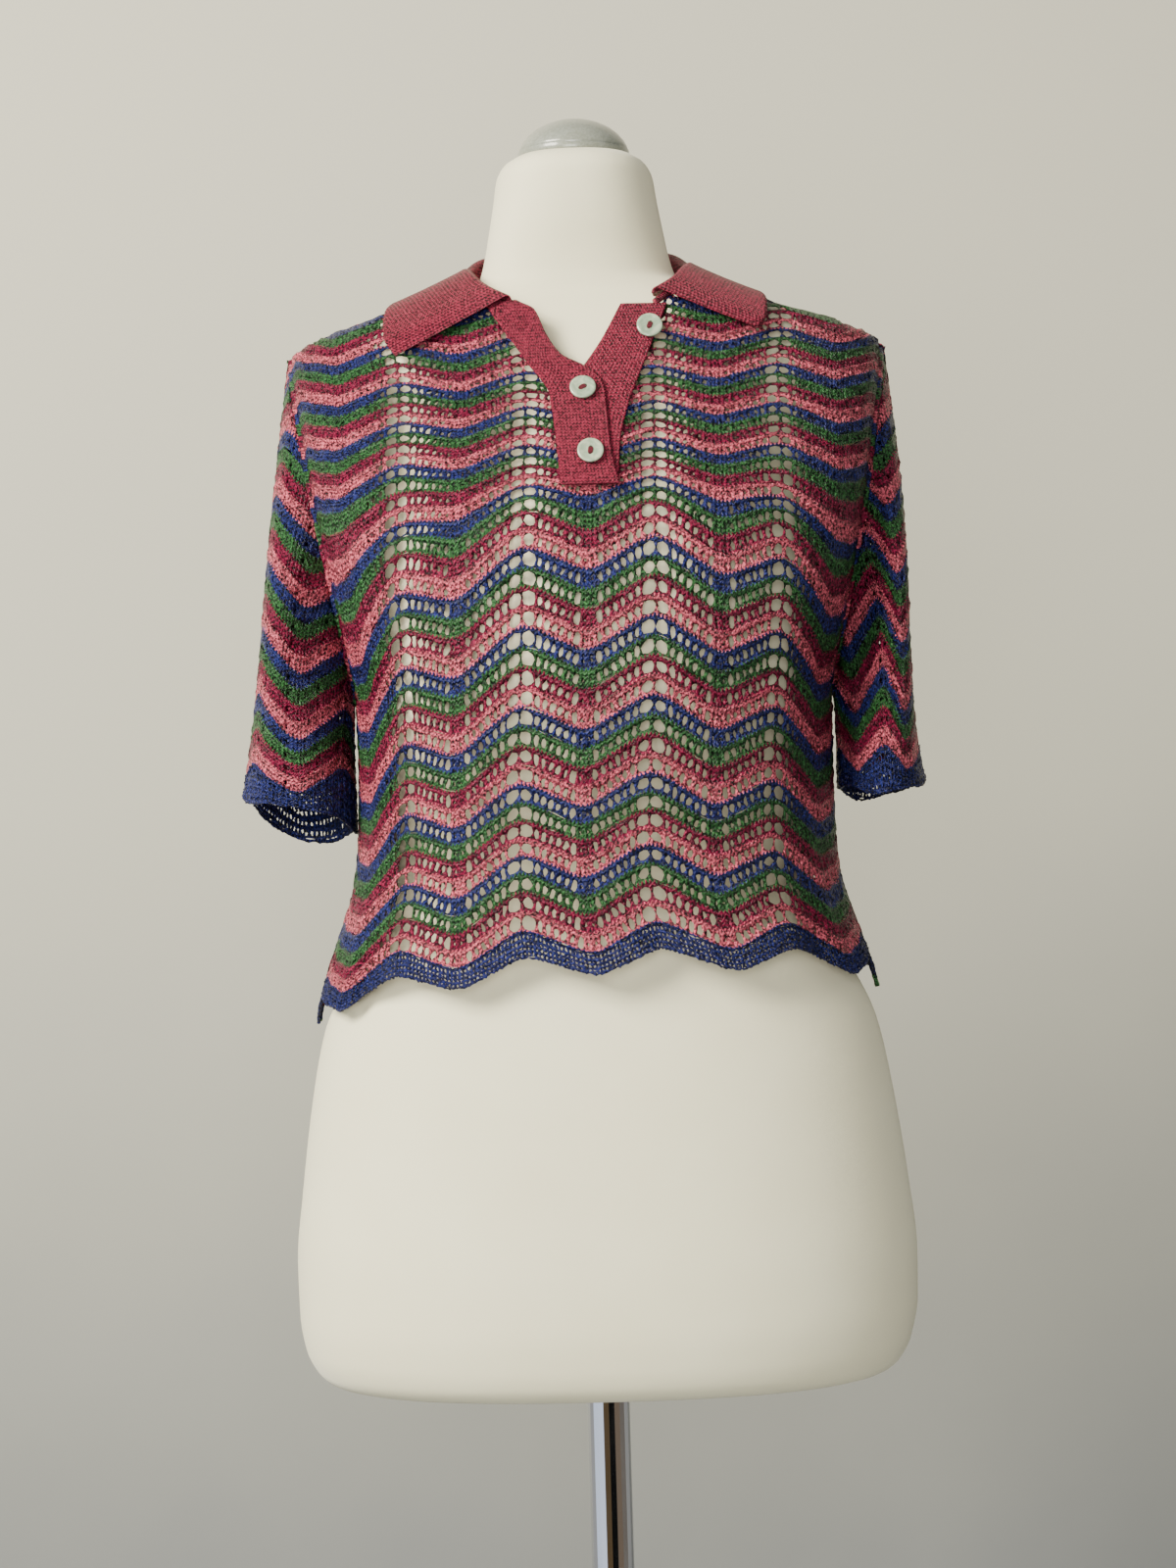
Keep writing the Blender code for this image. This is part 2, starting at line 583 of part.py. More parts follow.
def band(name, table, lift, finish, cols=5, rows=11):
    """A button band lying on the chest, lift millimetres off the cloth's inner surface."""
    at = reader(table, BAND_COLUMNS)
    low, high = table[0][0], table[-1][0]
    bm = bmesh.new()
    grid = []
    for i in range(rows + 1):
        z = low + (high - low) * i / rows
        left, right = at(z, "left"), at(z, "right")
        line = []
        for j in range(cols + 1):
            x = left + (right - left) * j / cols
            y = surface_y(x, min(z, BAND_TOP), "front") - lift
            line.append(bm.verts.new(Vector((x, y, z)) * MM))
        grid.append(line)
    for low_row, high_row in zip(grid, grid[1:]):
        for j in range(cols):
            bm.faces.new((low_row[j], low_row[j + 1], high_row[j + 1], high_row[j]))
    obj = new_object(name, mesh_of(bm, name), finish)
    thicken(obj)
    return obj


def collar_line(name):
    """The points of one of the collar's lines; the seam's lie on the panels' surface."""
    line = [row[COLLAR_COLUMNS.index(name)] for row in COLLAR]
    if name == "seam":
        return [Vector((x, surface_y(x, z, side), z)) for x, z, side in line]
    return [Vector(point) for point in line]


def along(points, share):
    """The point at that share of a smooth curve through the points."""
    at = share * (len(points) - 1)
    i = min(int(at), len(points) - 2)
    t = at - i
    before, after = points[max(i - 1, 0)], points[min(i + 2, len(points) - 1)]
    start, end = (points[i + 1] - before) / 2, (after - points[i]) / 2
    rise = points[i + 1] - points[i]
    bend = 3 * rise - 2 * start - end
    return points[i] + start * t + bend * t * t + (start + end - 2 * rise) * t ** 3


def collar_section(seam, fold, edge):
    """Points across the collar: up the stand, over the fold and down the fall."""
    out = edge - fold
    out.z = 0
    out.normalize()
    centre = fold - Vector((0, 0, FOLD_RADIUS)) + out * FOLD_RADIUS
    inner = centre - out * FOLD_RADIUS
    across = [seam, seam.lerp(inner, STAND_SHARE)]
    for step in range(FOLD_STEPS):
        angle = math.pi * (1 - FOLD_TURN * step / (FOLD_STEPS - 1))
        rise = Vector((0, 0, math.sin(angle)))
        across.append(centre + (out * math.cos(angle) + rise) * FOLD_RADIUS)
    last = across[-1]
    for t in FALL_SHARES:
        bow = Vector((0, 0, FALL_BOW * math.sin(math.pi * t)))
        across.append(last.lerp(edge, t) + bow)
    return across


def collar(name):
    bm = bmesh.new()
    curves = [collar_line(column_name) for column_name in COLLAR_COLUMNS]
    lines = []
    for step in range(COLLAR_ALONG + 1):
        across = collar_section(*(along(curve, step / COLLAR_ALONG) for curve in curves))
        lines.append([bm.verts.new(point * MM) for point in across])
    for one, two in zip(lines, lines[1:]):
        for j in range(len(one) - 1):
            bm.faces.new((one[j], one[j + 1], two[j + 1], two[j]))
    bmesh.ops.reverse_faces(bm, faces=bm.faces)
    obj = new_object(name, mesh_of(bm, name), "rose")
    thicken(obj)
    return obj


def button(name, x, z, lies_on, seat):
    """A two-hole shell button on its band."""
    lift = BAND_LIFT[lies_on] + WALL
    y = surface_y(x, z, "front")
    slope = surface_y(x, z + BUTTON_REACH, "front") - surface_y(x, z - BUTTON_REACH, "front")
    turn = surface_y(x + BUTTON_REACH, z, "front") - surface_y(x - BUTTON_REACH, z, "front")
    normal = Vector((turn, -2 * BUTTON_REACH, slope)).normalized()
    bm = bmesh.new()
    bmesh.ops.create_cone(bm, cap_ends=True, segments=20, radius1=BUTTON_RADIUS * MM,
                          radius2=(BUTTON_RADIUS - BUTTON_BEVEL) * MM, depth=BUTTON_THICK * MM)
    obj = new_object(name, mesh_of(bm, name), "shell", 30)
    for side in (-1, 1):
        hole = bmesh.new()
        bmesh.ops.create_cone(hole, cap_ends=True, segments=8, radius1=HOLE_RADIUS * MM,
                              radius2=HOLE_RADIUS * MM, depth=3 * BUTTON_THICK * MM)
        bmesh.ops.translate(hole, verts=hole.verts, vec=Vector((side * HOLE_SPACING / 2, 0, 0)) * MM)
        cutter = bpy.data.objects.new(f"{name}_hole_{side}", mesh_of(hole, name))
        cutters.objects.link(cutter)
        cutter.hide_render = True
        cutter.display_type = "WIRE"
        cutter.parent = obj
        cut = obj.modifiers.new("hole", "BOOLEAN")
        cut.operation = "DIFFERENCE"
        cut.object = cutter
    obj.rotation_mode = "QUATERNION"
    obj.rotation_quaternion = normal.to_track_quat("Z", "Y")
    obj.location = (Vector((x, y, z)) + normal * (lift + seat + BUTTON_THICK / 2)) * MM
    return obj


def form_ring(row):
    z, half, middle, front, back = (row[FORM_COLUMNS.index(name)] for name in FORM_COLUMNS)
    ring = []
    for k in range(FORM_AROUND):
        angle = 2 * math.pi * k / FORM_AROUND
        across, depth = math.cos(angle), math.sin(angle)
        power = 2 / SECTION_POWER
        x = middle + half * math.copysign(abs(across) ** power, across)
        reach = back if depth > 0 else -front
        ring.append((x, math.copysign(abs(depth) ** power, depth) * reach, z))
    return ring


def turned(name, profile, finish, x=0.0, y=0.0, steps=32):
    """A solid of revolution: profile is (radius, z) from top to bottom, ending on the axis."""
    bm = bmesh.new()
    line = [bm.verts.new((r * MM, 0, z * MM)) for r, z in profile]
    for a, b in zip(line, line[1:]):
        bm.edges.new((a, b))
    obj = new_object(name, mesh_of(bm, name), finish, 30)
    obj.location = (x * MM, y * MM, 0)
    spin = obj.modifiers.new("turn", "SCREW")
    spin.steps = spin.render_steps = steps
    spin.use_merge_vertices = True
    spin.merge_threshold = 0.0001
    return obj


def dome_profile():
    """The neck cap: a shallow dome over a low rim."""
    z, radius, rim, height = CAP["z"], CAP["radius"], CAP["rim"], CAP["height"]
    steps = 5
    turns = [i / steps * math.pi / 2 for i in range(steps + 1)]
    curve = [(radius * math.sin(turn), z + rim + (height - rim) * math.cos(turn)) for turn in turns]
    return curve + [(radius, z), (0, z)]


def stand():
    base_top, edge, socket_top = BASE_HEIGHT, BASE_EDGE, BASE_HEIGHT + SOCKET_HEIGHT
    turned("stand_base", [(0, socket_top), (SOCKET_RADIUS - SOCKET_EDGE, socket_top),
                          (SOCKET_RADIUS, socket_top - SOCKET_EDGE), (SOCKET_RADIUS, base_top),
                          (BASE_RADIUS - edge, base_top), (BASE_RADIUS, base_top - edge), (BASE_RADIUS, 0),
                          (0, 0)], "chrome", y=AXIS_Y, steps=40)
    pole_foot = socket_top + SEAM_GAP
    turned("pole", [(0, POLE_TOP), (POLE_RADIUS, POLE_TOP), (POLE_RADIUS, pole_foot), (0, pole_foot)],
           "chrome", y=AXIS_Y, steps=24)


for old in list(bpy.data.objects):
    bpy.data.objects.remove(old, do_unlink=True)
parts = bpy.data.collections.new("knit_polo_on_dress_form")
cutters = bpy.data.collections.new("cutters")
for group in (parts, cutters):
    bpy.context.scene.collection.children.link(group)

stand()
loft("form_torso", [form_ring(row) for row in FORM], "jersey", closed_ends=True)
turned("neck_cap", dome_profile(), "cap", y=CAP["y"])
panel("front_panel", "front")
panel("back_panel", "back")
sleeve("left_sleeve", -1, LEFT_CUFF)
sleeve("right_sleeve", 1, RIGHT_CUFF)
band("under_band", UNDER_BAND, BAND_LIFT["under"], "rose")
band("top_band", TOP_BAND, BAND_LIFT["top"], "rose")
collar("collar")
for label, place in BUTTONS.items():
    button(label, *place)
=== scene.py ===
import math

import bmesh
import bpy
import numpy as np
from mathutils import Matrix, Vector


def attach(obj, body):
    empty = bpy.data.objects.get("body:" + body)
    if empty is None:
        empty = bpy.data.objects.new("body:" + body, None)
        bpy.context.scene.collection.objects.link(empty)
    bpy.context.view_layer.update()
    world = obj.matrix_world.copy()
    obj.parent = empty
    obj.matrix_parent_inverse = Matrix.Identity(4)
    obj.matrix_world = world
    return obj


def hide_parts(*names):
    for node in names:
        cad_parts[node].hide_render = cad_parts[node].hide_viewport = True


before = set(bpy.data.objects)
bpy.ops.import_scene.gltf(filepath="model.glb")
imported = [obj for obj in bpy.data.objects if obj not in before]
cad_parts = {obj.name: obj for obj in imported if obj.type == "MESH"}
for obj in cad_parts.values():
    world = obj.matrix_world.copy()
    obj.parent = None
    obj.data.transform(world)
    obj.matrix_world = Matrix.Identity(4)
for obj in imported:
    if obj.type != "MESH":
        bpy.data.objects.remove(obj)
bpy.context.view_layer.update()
mm = 0.001
weld = 1e-6  # metres within which points are one

# The photograph's viewpoint, level and slightly rolled
cameraPlace = dict(side=-0.00205, distance=2.0, height=1.155, roll=1.61, lens=72.6, sensor=36.0)


def newObject(name, data):
    made = bpy.data.objects.new(name, data)
    bpy.context.scene.collection.objects.link(made)
    return made


def makeCamera():
    data = bpy.data.cameras.new("camera")
    data.lens, data.sensor_width = cameraPlace["lens"], cameraPlace["sensor"]
    camera = newObject("camera", data)
    c, r = math.cos(math.radians(cameraPlace["roll"])), math.sin(math.radians(cameraPlace["roll"]))
    camera.matrix_world = Matrix(((c, r, 0, cameraPlace["side"]), (0, 0, -1, -cameraPlace["distance"]),
                                  (-r, c, 0, cameraPlace["height"]), (0, 0, 0, 1)))
    bpy.context.scene.camera = camera


makeCamera()

# The worn cloth's sections, as the solids have them
bodyShape = dict(
    columns=("z", "half", "middle", "wale", "edge", "edgeFront", "front", "edgeBack", "back"),
    rows=(
        (1000, 178.0, 2.0, 4.0, 2.8, -0.2, -122.0, 0.2, 121.0),
        (1020, 175.0, 1.8, 3.0, 2.8, -0.2, -121.0, 0.2, 120.0),
        (1040, 169.5, 1.8, 1.0, 2.8, -0.2, -119.0, 0.2, 117.0),
        (1070, 159.0, 2.0, -3.0, 2.8, -0.2, -117.0, 0.2, 111.0),
        (1095, 151.5, 2.2, -5.0, 2.8, -0.2, -116.5, 0.2, 105.0),
        (1125, 148.5, 2.8, -5.0, 2.8, -0.2, -118.0, 0.2, 100.0),
        (1170, 147.5, 3.2, -3.5, 2.8, -0.2, -122.0, 0.2, 98.0),
        (1210, 148.0, 3.4, -1.0, 2.8, -0.5, -126.0, 0.5, 98.0),
        (1240, 152.0, 3.6, 0.5, 2.7, -20.0, -129.0, 21.0, 100.0),
        (1275, 158.5, 4.0, 2.0, 2.64, -33.0, -129.0, 34.0, 102.0),
        (1335, 169.0, 4.0, 3.5, 2.62, -42.0, -117.0, 43.0, 103.0),
        (1390, 178.0, 4.0, 5.0, 2.66, -30.0, -93.0, 36.0, 96.0),
        (1415, 182.5, 4.0, 5.0, 2.72, -10.0, -79.0, 21.0, 89.0),
        (1428, 184.0, 4.0, 5.0, 2.75, 7.8, -72.0, 8.2, 85.0),
        (1439, 165.0, 3.5, 5.0, 2.75, 7.8, -68.0, 8.2, 81.0),
        (1447, 140.0, 3.0, 5.0, 2.75, 7.8, -65.0, 8.2, 78.0),
        (1456, 115.0, 2.2, 5.0, 2.75, 7.8, -61.5, 8.2, 74.0),
        (1464, 92.0, 1.0, 5.0, 2.75, 7.8, -59.0, 8.2, 71.0),
        (1473, 70.0, 0.0, 5.0, 2.75, 7.8, -56.0, 8.2, 68.0),
        (1490, 60.0, 0.0, 5.0, 2.75, 7.8, -54.0, 8.2, 64.0),
    ),
    repeat=75.6, evenRepeats=2.0, sideSeam=2.8, power=2.4, shoulder=1428.0, armpit=1210.0,
    lowest=996.0, highest=1480.0, ridge=1490.0,
)

# Heights of the stripes' middles on the panels, and how they sag and climb
stripeShape = dict(
    columns=("stripe", "z", "sag", "lift"),
    rows=(
        (-4, 1009.0, 0.7, 3.2),
        (0, 1055.4, 0.95, 3.5),
        (4, 1103.6, 1.5, 4.9),
        (8, 1146.0, 1.5, 4.9),
        (12, 1191.7, 1.8, 5.5),
        (16, 1238.5, 2.0, 5.3),
        (20, 1285.8, 2.4, 5.2),
        (24, 1328.5, 2.2, 3.8),
        (28, 1352.3, 0.9, 2.3),
        (32, 1376.4, 0.6, 2.1),
        (36, 1398.6, 0.25, 2.1),
        (40, 1422.0, 0.1, 1.5),
        (44, 1445.5, 0.0, 1.5),
        (48, 1469.0, 0.0, 1.5),
        (52, 1492.0, 0.0, 1.5),
    ),
    wave=0.8, point=0.06, sagSize=4.0, sagLimit=5.2,
    cornerDip=11.0, cornerStart=2.2, cornerWidth=0.6, cornerStripes=10,
    # share of the wave that is left near the loose edge, by stripe, and the sides' sharper valleys
    calm=((-0.86, 0.70), (0.5, 0.84), (4.0, 1.0)), sideFrom=1.6, sideWidth=0.3, sidePoint=0.07,
)

# Upright folds over the front hem: place in repeats, half width, depth outwards
hemFolds = dict(
    folds=((-1.78, 0.13, -7.0), (-1.20, 0.40, 2.5), (0.10, 0.35, 3.0),
           (0.50, 0.11, -7.0), (1.15, 0.40, 2.5), (1.72, 0.13, -8.0)),
    top=1105.0, foot=1015.0,
)

# Neckline and button opening of the front, x and z, and the back's straight neck
neckCut = dict(
    front=((-72.0, 1471.6), (-56.0, 1454.4), (-36.0, 1424.0), (-14.0, 1391.0), (-12.0, 1364.0),
           (-11.0, 1341.0), (18.0, 1341.0), (19.5, 1364.0), (26.0, 1385.0), (51.0, 1448.0),
           (57.0, 1454.6), (72.0, 1471.6)),
    back=1474.0, half=70.0,
)


def smooth(at, known, values):
    # values between a table's rows, never overshooting them
    at = np.clip(np.asarray(at, float), known[0], known[-1])
    i = np.clip(np.searchsorted(known, at) - 1, 0, len(known) - 2)
    steps, slopes = np.diff(known), np.diff(values) / np.diff(known)
    product = slopes[:-1] * slopes[1:]
    total = np.where(product > 0, slopes[:-1] + slopes[1:], 1.0)
    inner = np.where(product > 0, 2 * product / total, 0.0)
    tangents = np.concatenate([[slopes[0]], inner, [slopes[-1]]])
    t = (at - known[i]) / steps[i]
    rise = values[i + 1] - values[i]
    start, end = tangents[i] * steps[i], tangents[i + 1] * steps[i]
    return values[i] + t * start + t * t * (3 * rise - 2 * start - end) + t ** 3 * (start + end - 2 * rise)


def tableReader(shape):
    table = np.array(shape["rows"], float)
    names = shape["columns"]
    return lambda at, name: smooth(at, table[:, 0], table[:, names.index(name)])


body = tableReader(bodyShape)
stripes = tableReader(stripeShape)


def surfaceY(x, z, side):
    # y of the cloth's inner surface at that x and z
    edge, centre = body(z, "edge" + side), body(z, side.lower())
    share = np.minimum(np.abs(x - body(z, "middle")) / body(z, "half"), 1.0)
    return edge + (centre - edge) * (1 - share ** bodyShape["power"]) ** (1 / bodyShape["power"])


def ridgeHeight(x):
    # height of the shoulder seam at x
    low, high = np.full(len(x), bodyShape["shoulder"]), np.full(len(x), bodyShape["ridge"])
    for _ in range(30):
        z = (low + high) / 2
        under = body(z, "half") > np.abs(x - body(z, "middle"))
        low, high = np.where(under, z, low), np.where(under, high, z)
    return low


def chevron(s):
    turn = 2 * math.pi * (s - 0.5)
    side = np.clip((np.abs(s) - stripeShape["sideFrom"]) / stripeShape["sideWidth"], 0, 1)
    point = stripeShape["point"] + stripeShape["sidePoint"] * side
    return (np.cos(turn) + point * np.cos(3 * turn)) / (1 + point)


def stripeHeight(s, stripe):
    shape = stripeShape
    corner = np.clip((np.abs(s) - shape["cornerStart"]) / shape["cornerWidth"], 0, 1)
    dip = shape["cornerDip"] * corner ** 2 * np.clip(1 - stripe / shape["cornerStripes"], 0, 1)
    sag = shape["sagSize"] * np.minimum(s * s, shape["sagLimit"]) * stripes(stripe, "sag")
    calm = np.interp(stripe, *zip(*shape["calm"]))
    crest = stripe + shape["wave"] * (1 - calm * (1 - chevron(s)))
    return stripes(crest, "z") + s * stripes(stripe, "lift") - sag - dip


def hemFold(s, z):
    fade = np.clip((hemFolds["top"] - z) / (hemFolds["top"] - hemFolds["foot"]), 0, 1)
    push = sum(depth * np.exp(-((s - place) / width) ** 2) for place, width, depth in hemFolds["folds"])
    return push * fade * fade * (3 - 2 * fade)


# Fineness of the worn surfaces' grids, and the steps over which their slopes are read
clothGrid = dict(panelAcross=337, sleeveAcross=241, height=1.5, arch=91, sleeveSteps=90, slopeAcross=1.5,
                 slopeUp=3.0)


class Cloth:
    # A worn surface on a grid: across (u) and height (z) give x and y
    def __init__(self, across, heights, x, y, top, stripeAt, outward):
        self.across, self.heights, self.x, self.y, self.top = across, heights, x, y, top
        self.stripeAt, self.outward = stripeAt, outward

    def read(self, grid, u, z):
        a = np.clip((u - self.across[0]) / (self.across[1] - self.across[0]), 0, len(self.across) - 1.001)
        b = np.clip((z - self.heights[0]) / (self.heights[1] - self.heights[0]), 0,
                    len(self.heights) - 1.001)
        i, j = a.astype(int), b.astype(int)
        fa, fb = a - i, b - j
        low = grid[i, j] * (1 - fa) + grid[i + 1, j] * fa
        high = grid[i, j + 1] * (1 - fa) + grid[i + 1, j + 1] * fa
        return low * (1 - fb) + high * fb

    def topAt(self, u):
        return np.interp(u, self.across, self.top)

    def place(self, u, z, lift):
        # points of the cloth moved out by lift, in mm
        du, dz = (self.across[1] - self.across[0]) * clothGrid["slopeAcross"], clothGrid["slopeUp"]
        x, y = self.read(self.x, u, z), self.read(self.y, u, z)
        alongX = self.read(self.x, u + du, z) - self.read(self.x, u - du, z)
        alongY = self.read(self.y, u + du, z) - self.read(self.y, u - du, z)
        upX = (self.read(self.x, u, z + dz) - self.read(self.x, u, z - dz)) / (2 * dz)
        upY = (self.read(self.y, u, z + dz) - self.read(self.y, u, z - dz)) / (2 * dz)
        normal = np.stack([alongY, -alongX, alongX * upY - alongY * upX], axis=1) * self.outward
        normal /= np.maximum(np.linalg.norm(normal, axis=1), 1e-9)[:, None]
        return np.stack([x, y, z], axis=1) + normal * np.asarray(lift)[:, None]


def panelCloth(side):
    across = np.linspace(-bodyShape["sideSeam"], bodyShape["sideSeam"], clothGrid["panelAcross"])
    heights = np.arange(bodyShape["lowest"], bodyShape["highest"], clothGrid["height"])
    x, y = np.zeros((2, len(across), len(heights)))
    turns, power = np.linspace(0, math.pi / 2, clothGrid["arch"]), 2 / bodyShape["power"]
    archOut, archIn = np.sin(turns) ** power, np.maximum(np.cos(turns), 0) ** power

    def section(z):
        edge, centre = float(body(z, "edge" + side)), float(body(z, side.lower()))
        middle, limit = float(body(z, "middle")), float(body(z, "edge"))
        turned = (float(body(z, "wale")) - middle) / bodyShape["repeat"] if side == "Front" else 0.0
        place = across + turned * (1 - (across / bodyShape["sideSeam"]) ** 2)
        even = bodyShape["evenRepeats"]
        squeeze = (limit - even) / (bodyShape["sideSeam"] - even)
        beyond = np.abs(place) - even
        place = np.where(beyond > 0, np.sign(place) * (even + beyond * squeeze), place)
        px, py = float(body(z, "half")) * archOut, edge + (centre - edge) * archIn
        lengths = np.concatenate([[0], np.cumsum(np.hypot(np.diff(px), np.diff(py)))])
        at = np.minimum(np.abs(place) / limit, 1.0) * lengths[-1]
        return middle + np.sign(place) * np.interp(at, lengths, px), np.interp(at, lengths, py)

    topX = section(bodyShape["shoulder"])[0]
    for j, z in enumerate(heights):
        if z <= bodyShape["shoulder"]:
            x[:, j], y[:, j] = section(z)
            if side == "Front":
                y[:, j] -= hemFold(across, z)
        else:
            x[:, j], y[:, j] = topX, surfaceY(topX, z, side)
    top = ridgeHeight(topX)
    cut = np.array(neckCut["front"])
    neck = np.interp(topX, cut[:, 0], cut[:, 1]) if side == "Front" else neckCut["back"]
    top = np.where(np.abs(topX) < neckCut["half"], neck, top)
    return Cloth(across, heights, x, y, top, stripeHeight, 1 if side == "Front" else -1)


# The hanging sleeves. turn runs from the shoulder (0) over the front to the armpit (0.5)
sleeveShape = dict(
    out=3.1, under=2.0, leaveOut=0.045, leaveOutFront=0.05, leaveOutUnder=-0.025, leaveForward=-0.10,
    leaveDown=-0.34, arriveUp=0.3, arriveIn=0.06, round=0.85, wave=1.6, waves=5,
    folds=((0.14, 3.0, 0.06), (0.30, -5.5, 0.07), (0.62, 4.0, 0.08), (0.82, -5.0, 0.07)),
    foldReach=1.1, foldPower=1.5, lowest=1110.0, highest=1431.0,
    # the cuff: stripe number of its edge, least height, and the sharpness of the lace's waves
    foot=-1.36, band=6.0, point=0.1, grownAt=4,
)
# A sleeve's lace: the turn of each peak (whole repeats) and valley, the band's top, the wave's half
# height there and four stripes up, the drop towards the body there, and a stripe's height
leftSleeve = dict(name="left_sleeve", sign=-1, x=-184.5, y=4.0, halfX=33.5, halfY=63.0, front=1146,
                  outer=1153, back=1122, inner=1129, repeats=4, peaks=(0, 1, 1.5, 2, 3, 4),
                  turns=(-0.12, 0.12, 0.265, 0.40, 0.64, 0.88), top=1166.5, wave=(8.0, 12.0),
                  drop=(6.0, 14.0), stripe=10.2)
rightSleeve = dict(name="right_sleeve", sign=1, x=183.5, y=4.0, halfX=25.0, halfY=67.0, front=1145,
                   outer=1153, back=1140, inner=1149, repeats=5, peaks=(0, 1, 1.5, 2, 2.5, 3, 4, 5),
                   turns=(-0.16, 0.04, 0.20, 0.264, 0.364, 0.47, 0.66, 0.84), top=1166.0,
                   wave=(7.5, 14.0), drop=(0.0, 0.0), stripe=10.6)


def armhole(turn, sign):
    share = np.where(turn <= 0.5, turn * 2, 2 - turn * 2)
    drop = bodyShape["shoulder"] - bodyShape["armpit"]
    z = bodyShape["shoulder"] - drop * 0.5 * (1 - np.cos(math.pi * share))
    edge = np.where(turn <= 0.5, body(z, "edgeFront"), body(z, "edgeBack"))
    return np.stack([body(z, "middle") + sign * body(z, "half"), edge, z], axis=-1)


def cuffEdge(turn, cuff):
    out, forward = np.cos(2 * math.pi * turn), np.sin(2 * math.pi * turn)
    power = sleeveShape["round"]
    x = cuff["x"] + cuff["sign"] * cuff["halfX"] * np.sign(out) * np.abs(out) ** power
    y = cuff["y"] - cuff["halfY"] * np.sign(forward) * np.abs(forward) ** power
    z = (np.maximum(out, 0) ** 2 * cuff["outer"] + np.maximum(-out, 0) ** 2 * cuff["inner"]
         + np.maximum(forward, 0) ** 2 * cuff["front"] + np.maximum(-forward, 0) ** 2 * cuff["back"])
    return np.stack([x, y, z + sleeveShape["wave"] * np.cos(2 * math.pi * sleeveShape["waves"] * turn)],
                    axis=-1)


def sleevePoints(turn, t, cuff):
    # inner surface of the sleeve at arrays of turn and t, from the armhole (0) to the cuff (1)
    shape, sign = sleeveShape, cuff["sign"]
    start, end = armhole(turn, sign), cuffEdge(turn, cuff)
    start[..., 0] += sign * (shape["out"] + shape["under"] * np.sin(math.pi * turn) ** 2)
    length = np.linalg.norm(start - end, axis=-1)
    out, forward = np.cos(2 * math.pi * turn), np.sin(2 * math.pi * turn)
    under, outer = np.maximum(-out, 0), np.maximum(out, 0)
    leaveX = sign * (shape["leaveOut"] + shape["leaveOutFront"] * forward ** 2
                     + shape["leaveOutUnder"] * under)
    leave = np.stack([leaveX, shape["leaveForward"] * forward, np.full_like(turn, shape["leaveDown"])],
                     axis=-1)
    arrive = np.stack([-sign * shape["arriveIn"] * outer, 0 * turn, np.full_like(turn, shape["arriveUp"])],
                      axis=-1)
    a, b = start + leave * length[..., None], end + arrive * length[..., None]
    w, u = t[..., None], 1 - t[..., None]
    point = start * u ** 3 + a * 3 * u * u * w + b * 3 * u * w * w + end * w ** 3
    away = np.stack([point[..., 0] - cuff["x"], point[..., 1] - cuff["y"], 0 * turn], axis=-1)
    away /= np.linalg.norm(away, axis=-1)[..., None]
    push = sum(depth * np.exp(-(((turn - place + 0.5) % 1 - 0.5) / width) ** 2)
               for place, depth, width in shape["folds"])
    push = push * np.sin(math.pi * np.minimum(t * shape["foldReach"], 1)) ** shape["foldPower"] * (1 - under)
    return point + away * push[..., None]


def sleeveCloth(cuff):
    shape, count = sleeveShape, clothGrid["sleeveSteps"]
    across = np.linspace(0, cuff["repeats"], clothGrid["sleeveAcross"])
    turn = np.interp(across, cuff["peaks"], cuff["turns"])
    heights = np.arange(shape["lowest"], shape["highest"], clothGrid["height"])
    x, y = np.zeros((2, len(across), len(heights)))
    top, foot = np.zeros((2, len(across)))
    for i, place in enumerate(turn % 1.0):
        points = sleevePoints(np.full(count, place), np.linspace(0, 1, count), cuff)[::-1]
        rising = np.maximum.accumulate(points[:, 2] + np.arange(count) * 1e-6)
        x[i], y[i] = (np.interp(heights, rising, points[:, axis]) for axis in (0, 1))
        top[i], foot[i] = rising[-1], rising[0]

    def stripeAt(u, stripe):
        up = np.maximum(stripe - 0.5, 0)
        grown = np.clip(up / shape["grownAt"], 0, 1)
        wave, drop = (low + (high - low) * grown for low, high in (cuff["wave"], cuff["drop"]))
        inward = (1 - np.cos(2 * math.pi * np.interp(u, across, turn))) / 2
        waved = np.cos(2 * math.pi * u) + shape["point"] * np.cos(6 * math.pi * u)
        z = cuff["top"] + up * cuff["stripe"] + wave * waved / (1 + shape["point"]) - drop * inward
        share = np.clip((stripe - shape["foot"]) / (0.5 - shape["foot"]), 0, 1)
        edge = np.interp(u, across, foot)
        return np.maximum(edge + (z - edge) * share, edge + share * shape["band"])

    return Cloth(across, heights, x, y, top, stripeAt, 1 if cuff["sign"] < 0 else -1)


# One stripe of one repeat, laid flat. Peaks are at its sides, where the two large eyelets are.
laceCell = dict(
    eyelet=0.104, slits=14, low=-0.47, middle=-0.09, high=0.30, ridge=0.40, slitTall=0.25,
    eyeletHalf=0.92, slitHalf=0.56, lean=0.05, relief=0.7, posts=0.25, width=0.0756, height=0.0118,
    # slits shrink towards the valley, nearly close in it and are large beside it
    crestSize=1.1, shrink=0.35, valleyFrom=0.9, valleySize=0.45, besideFrom=0.75, besideSize=1.45,
)
cellRelief = dict(foot=0.35, low=0.2, middle=0.0, high=0.45, ridge=1.0, hole=-0.25)


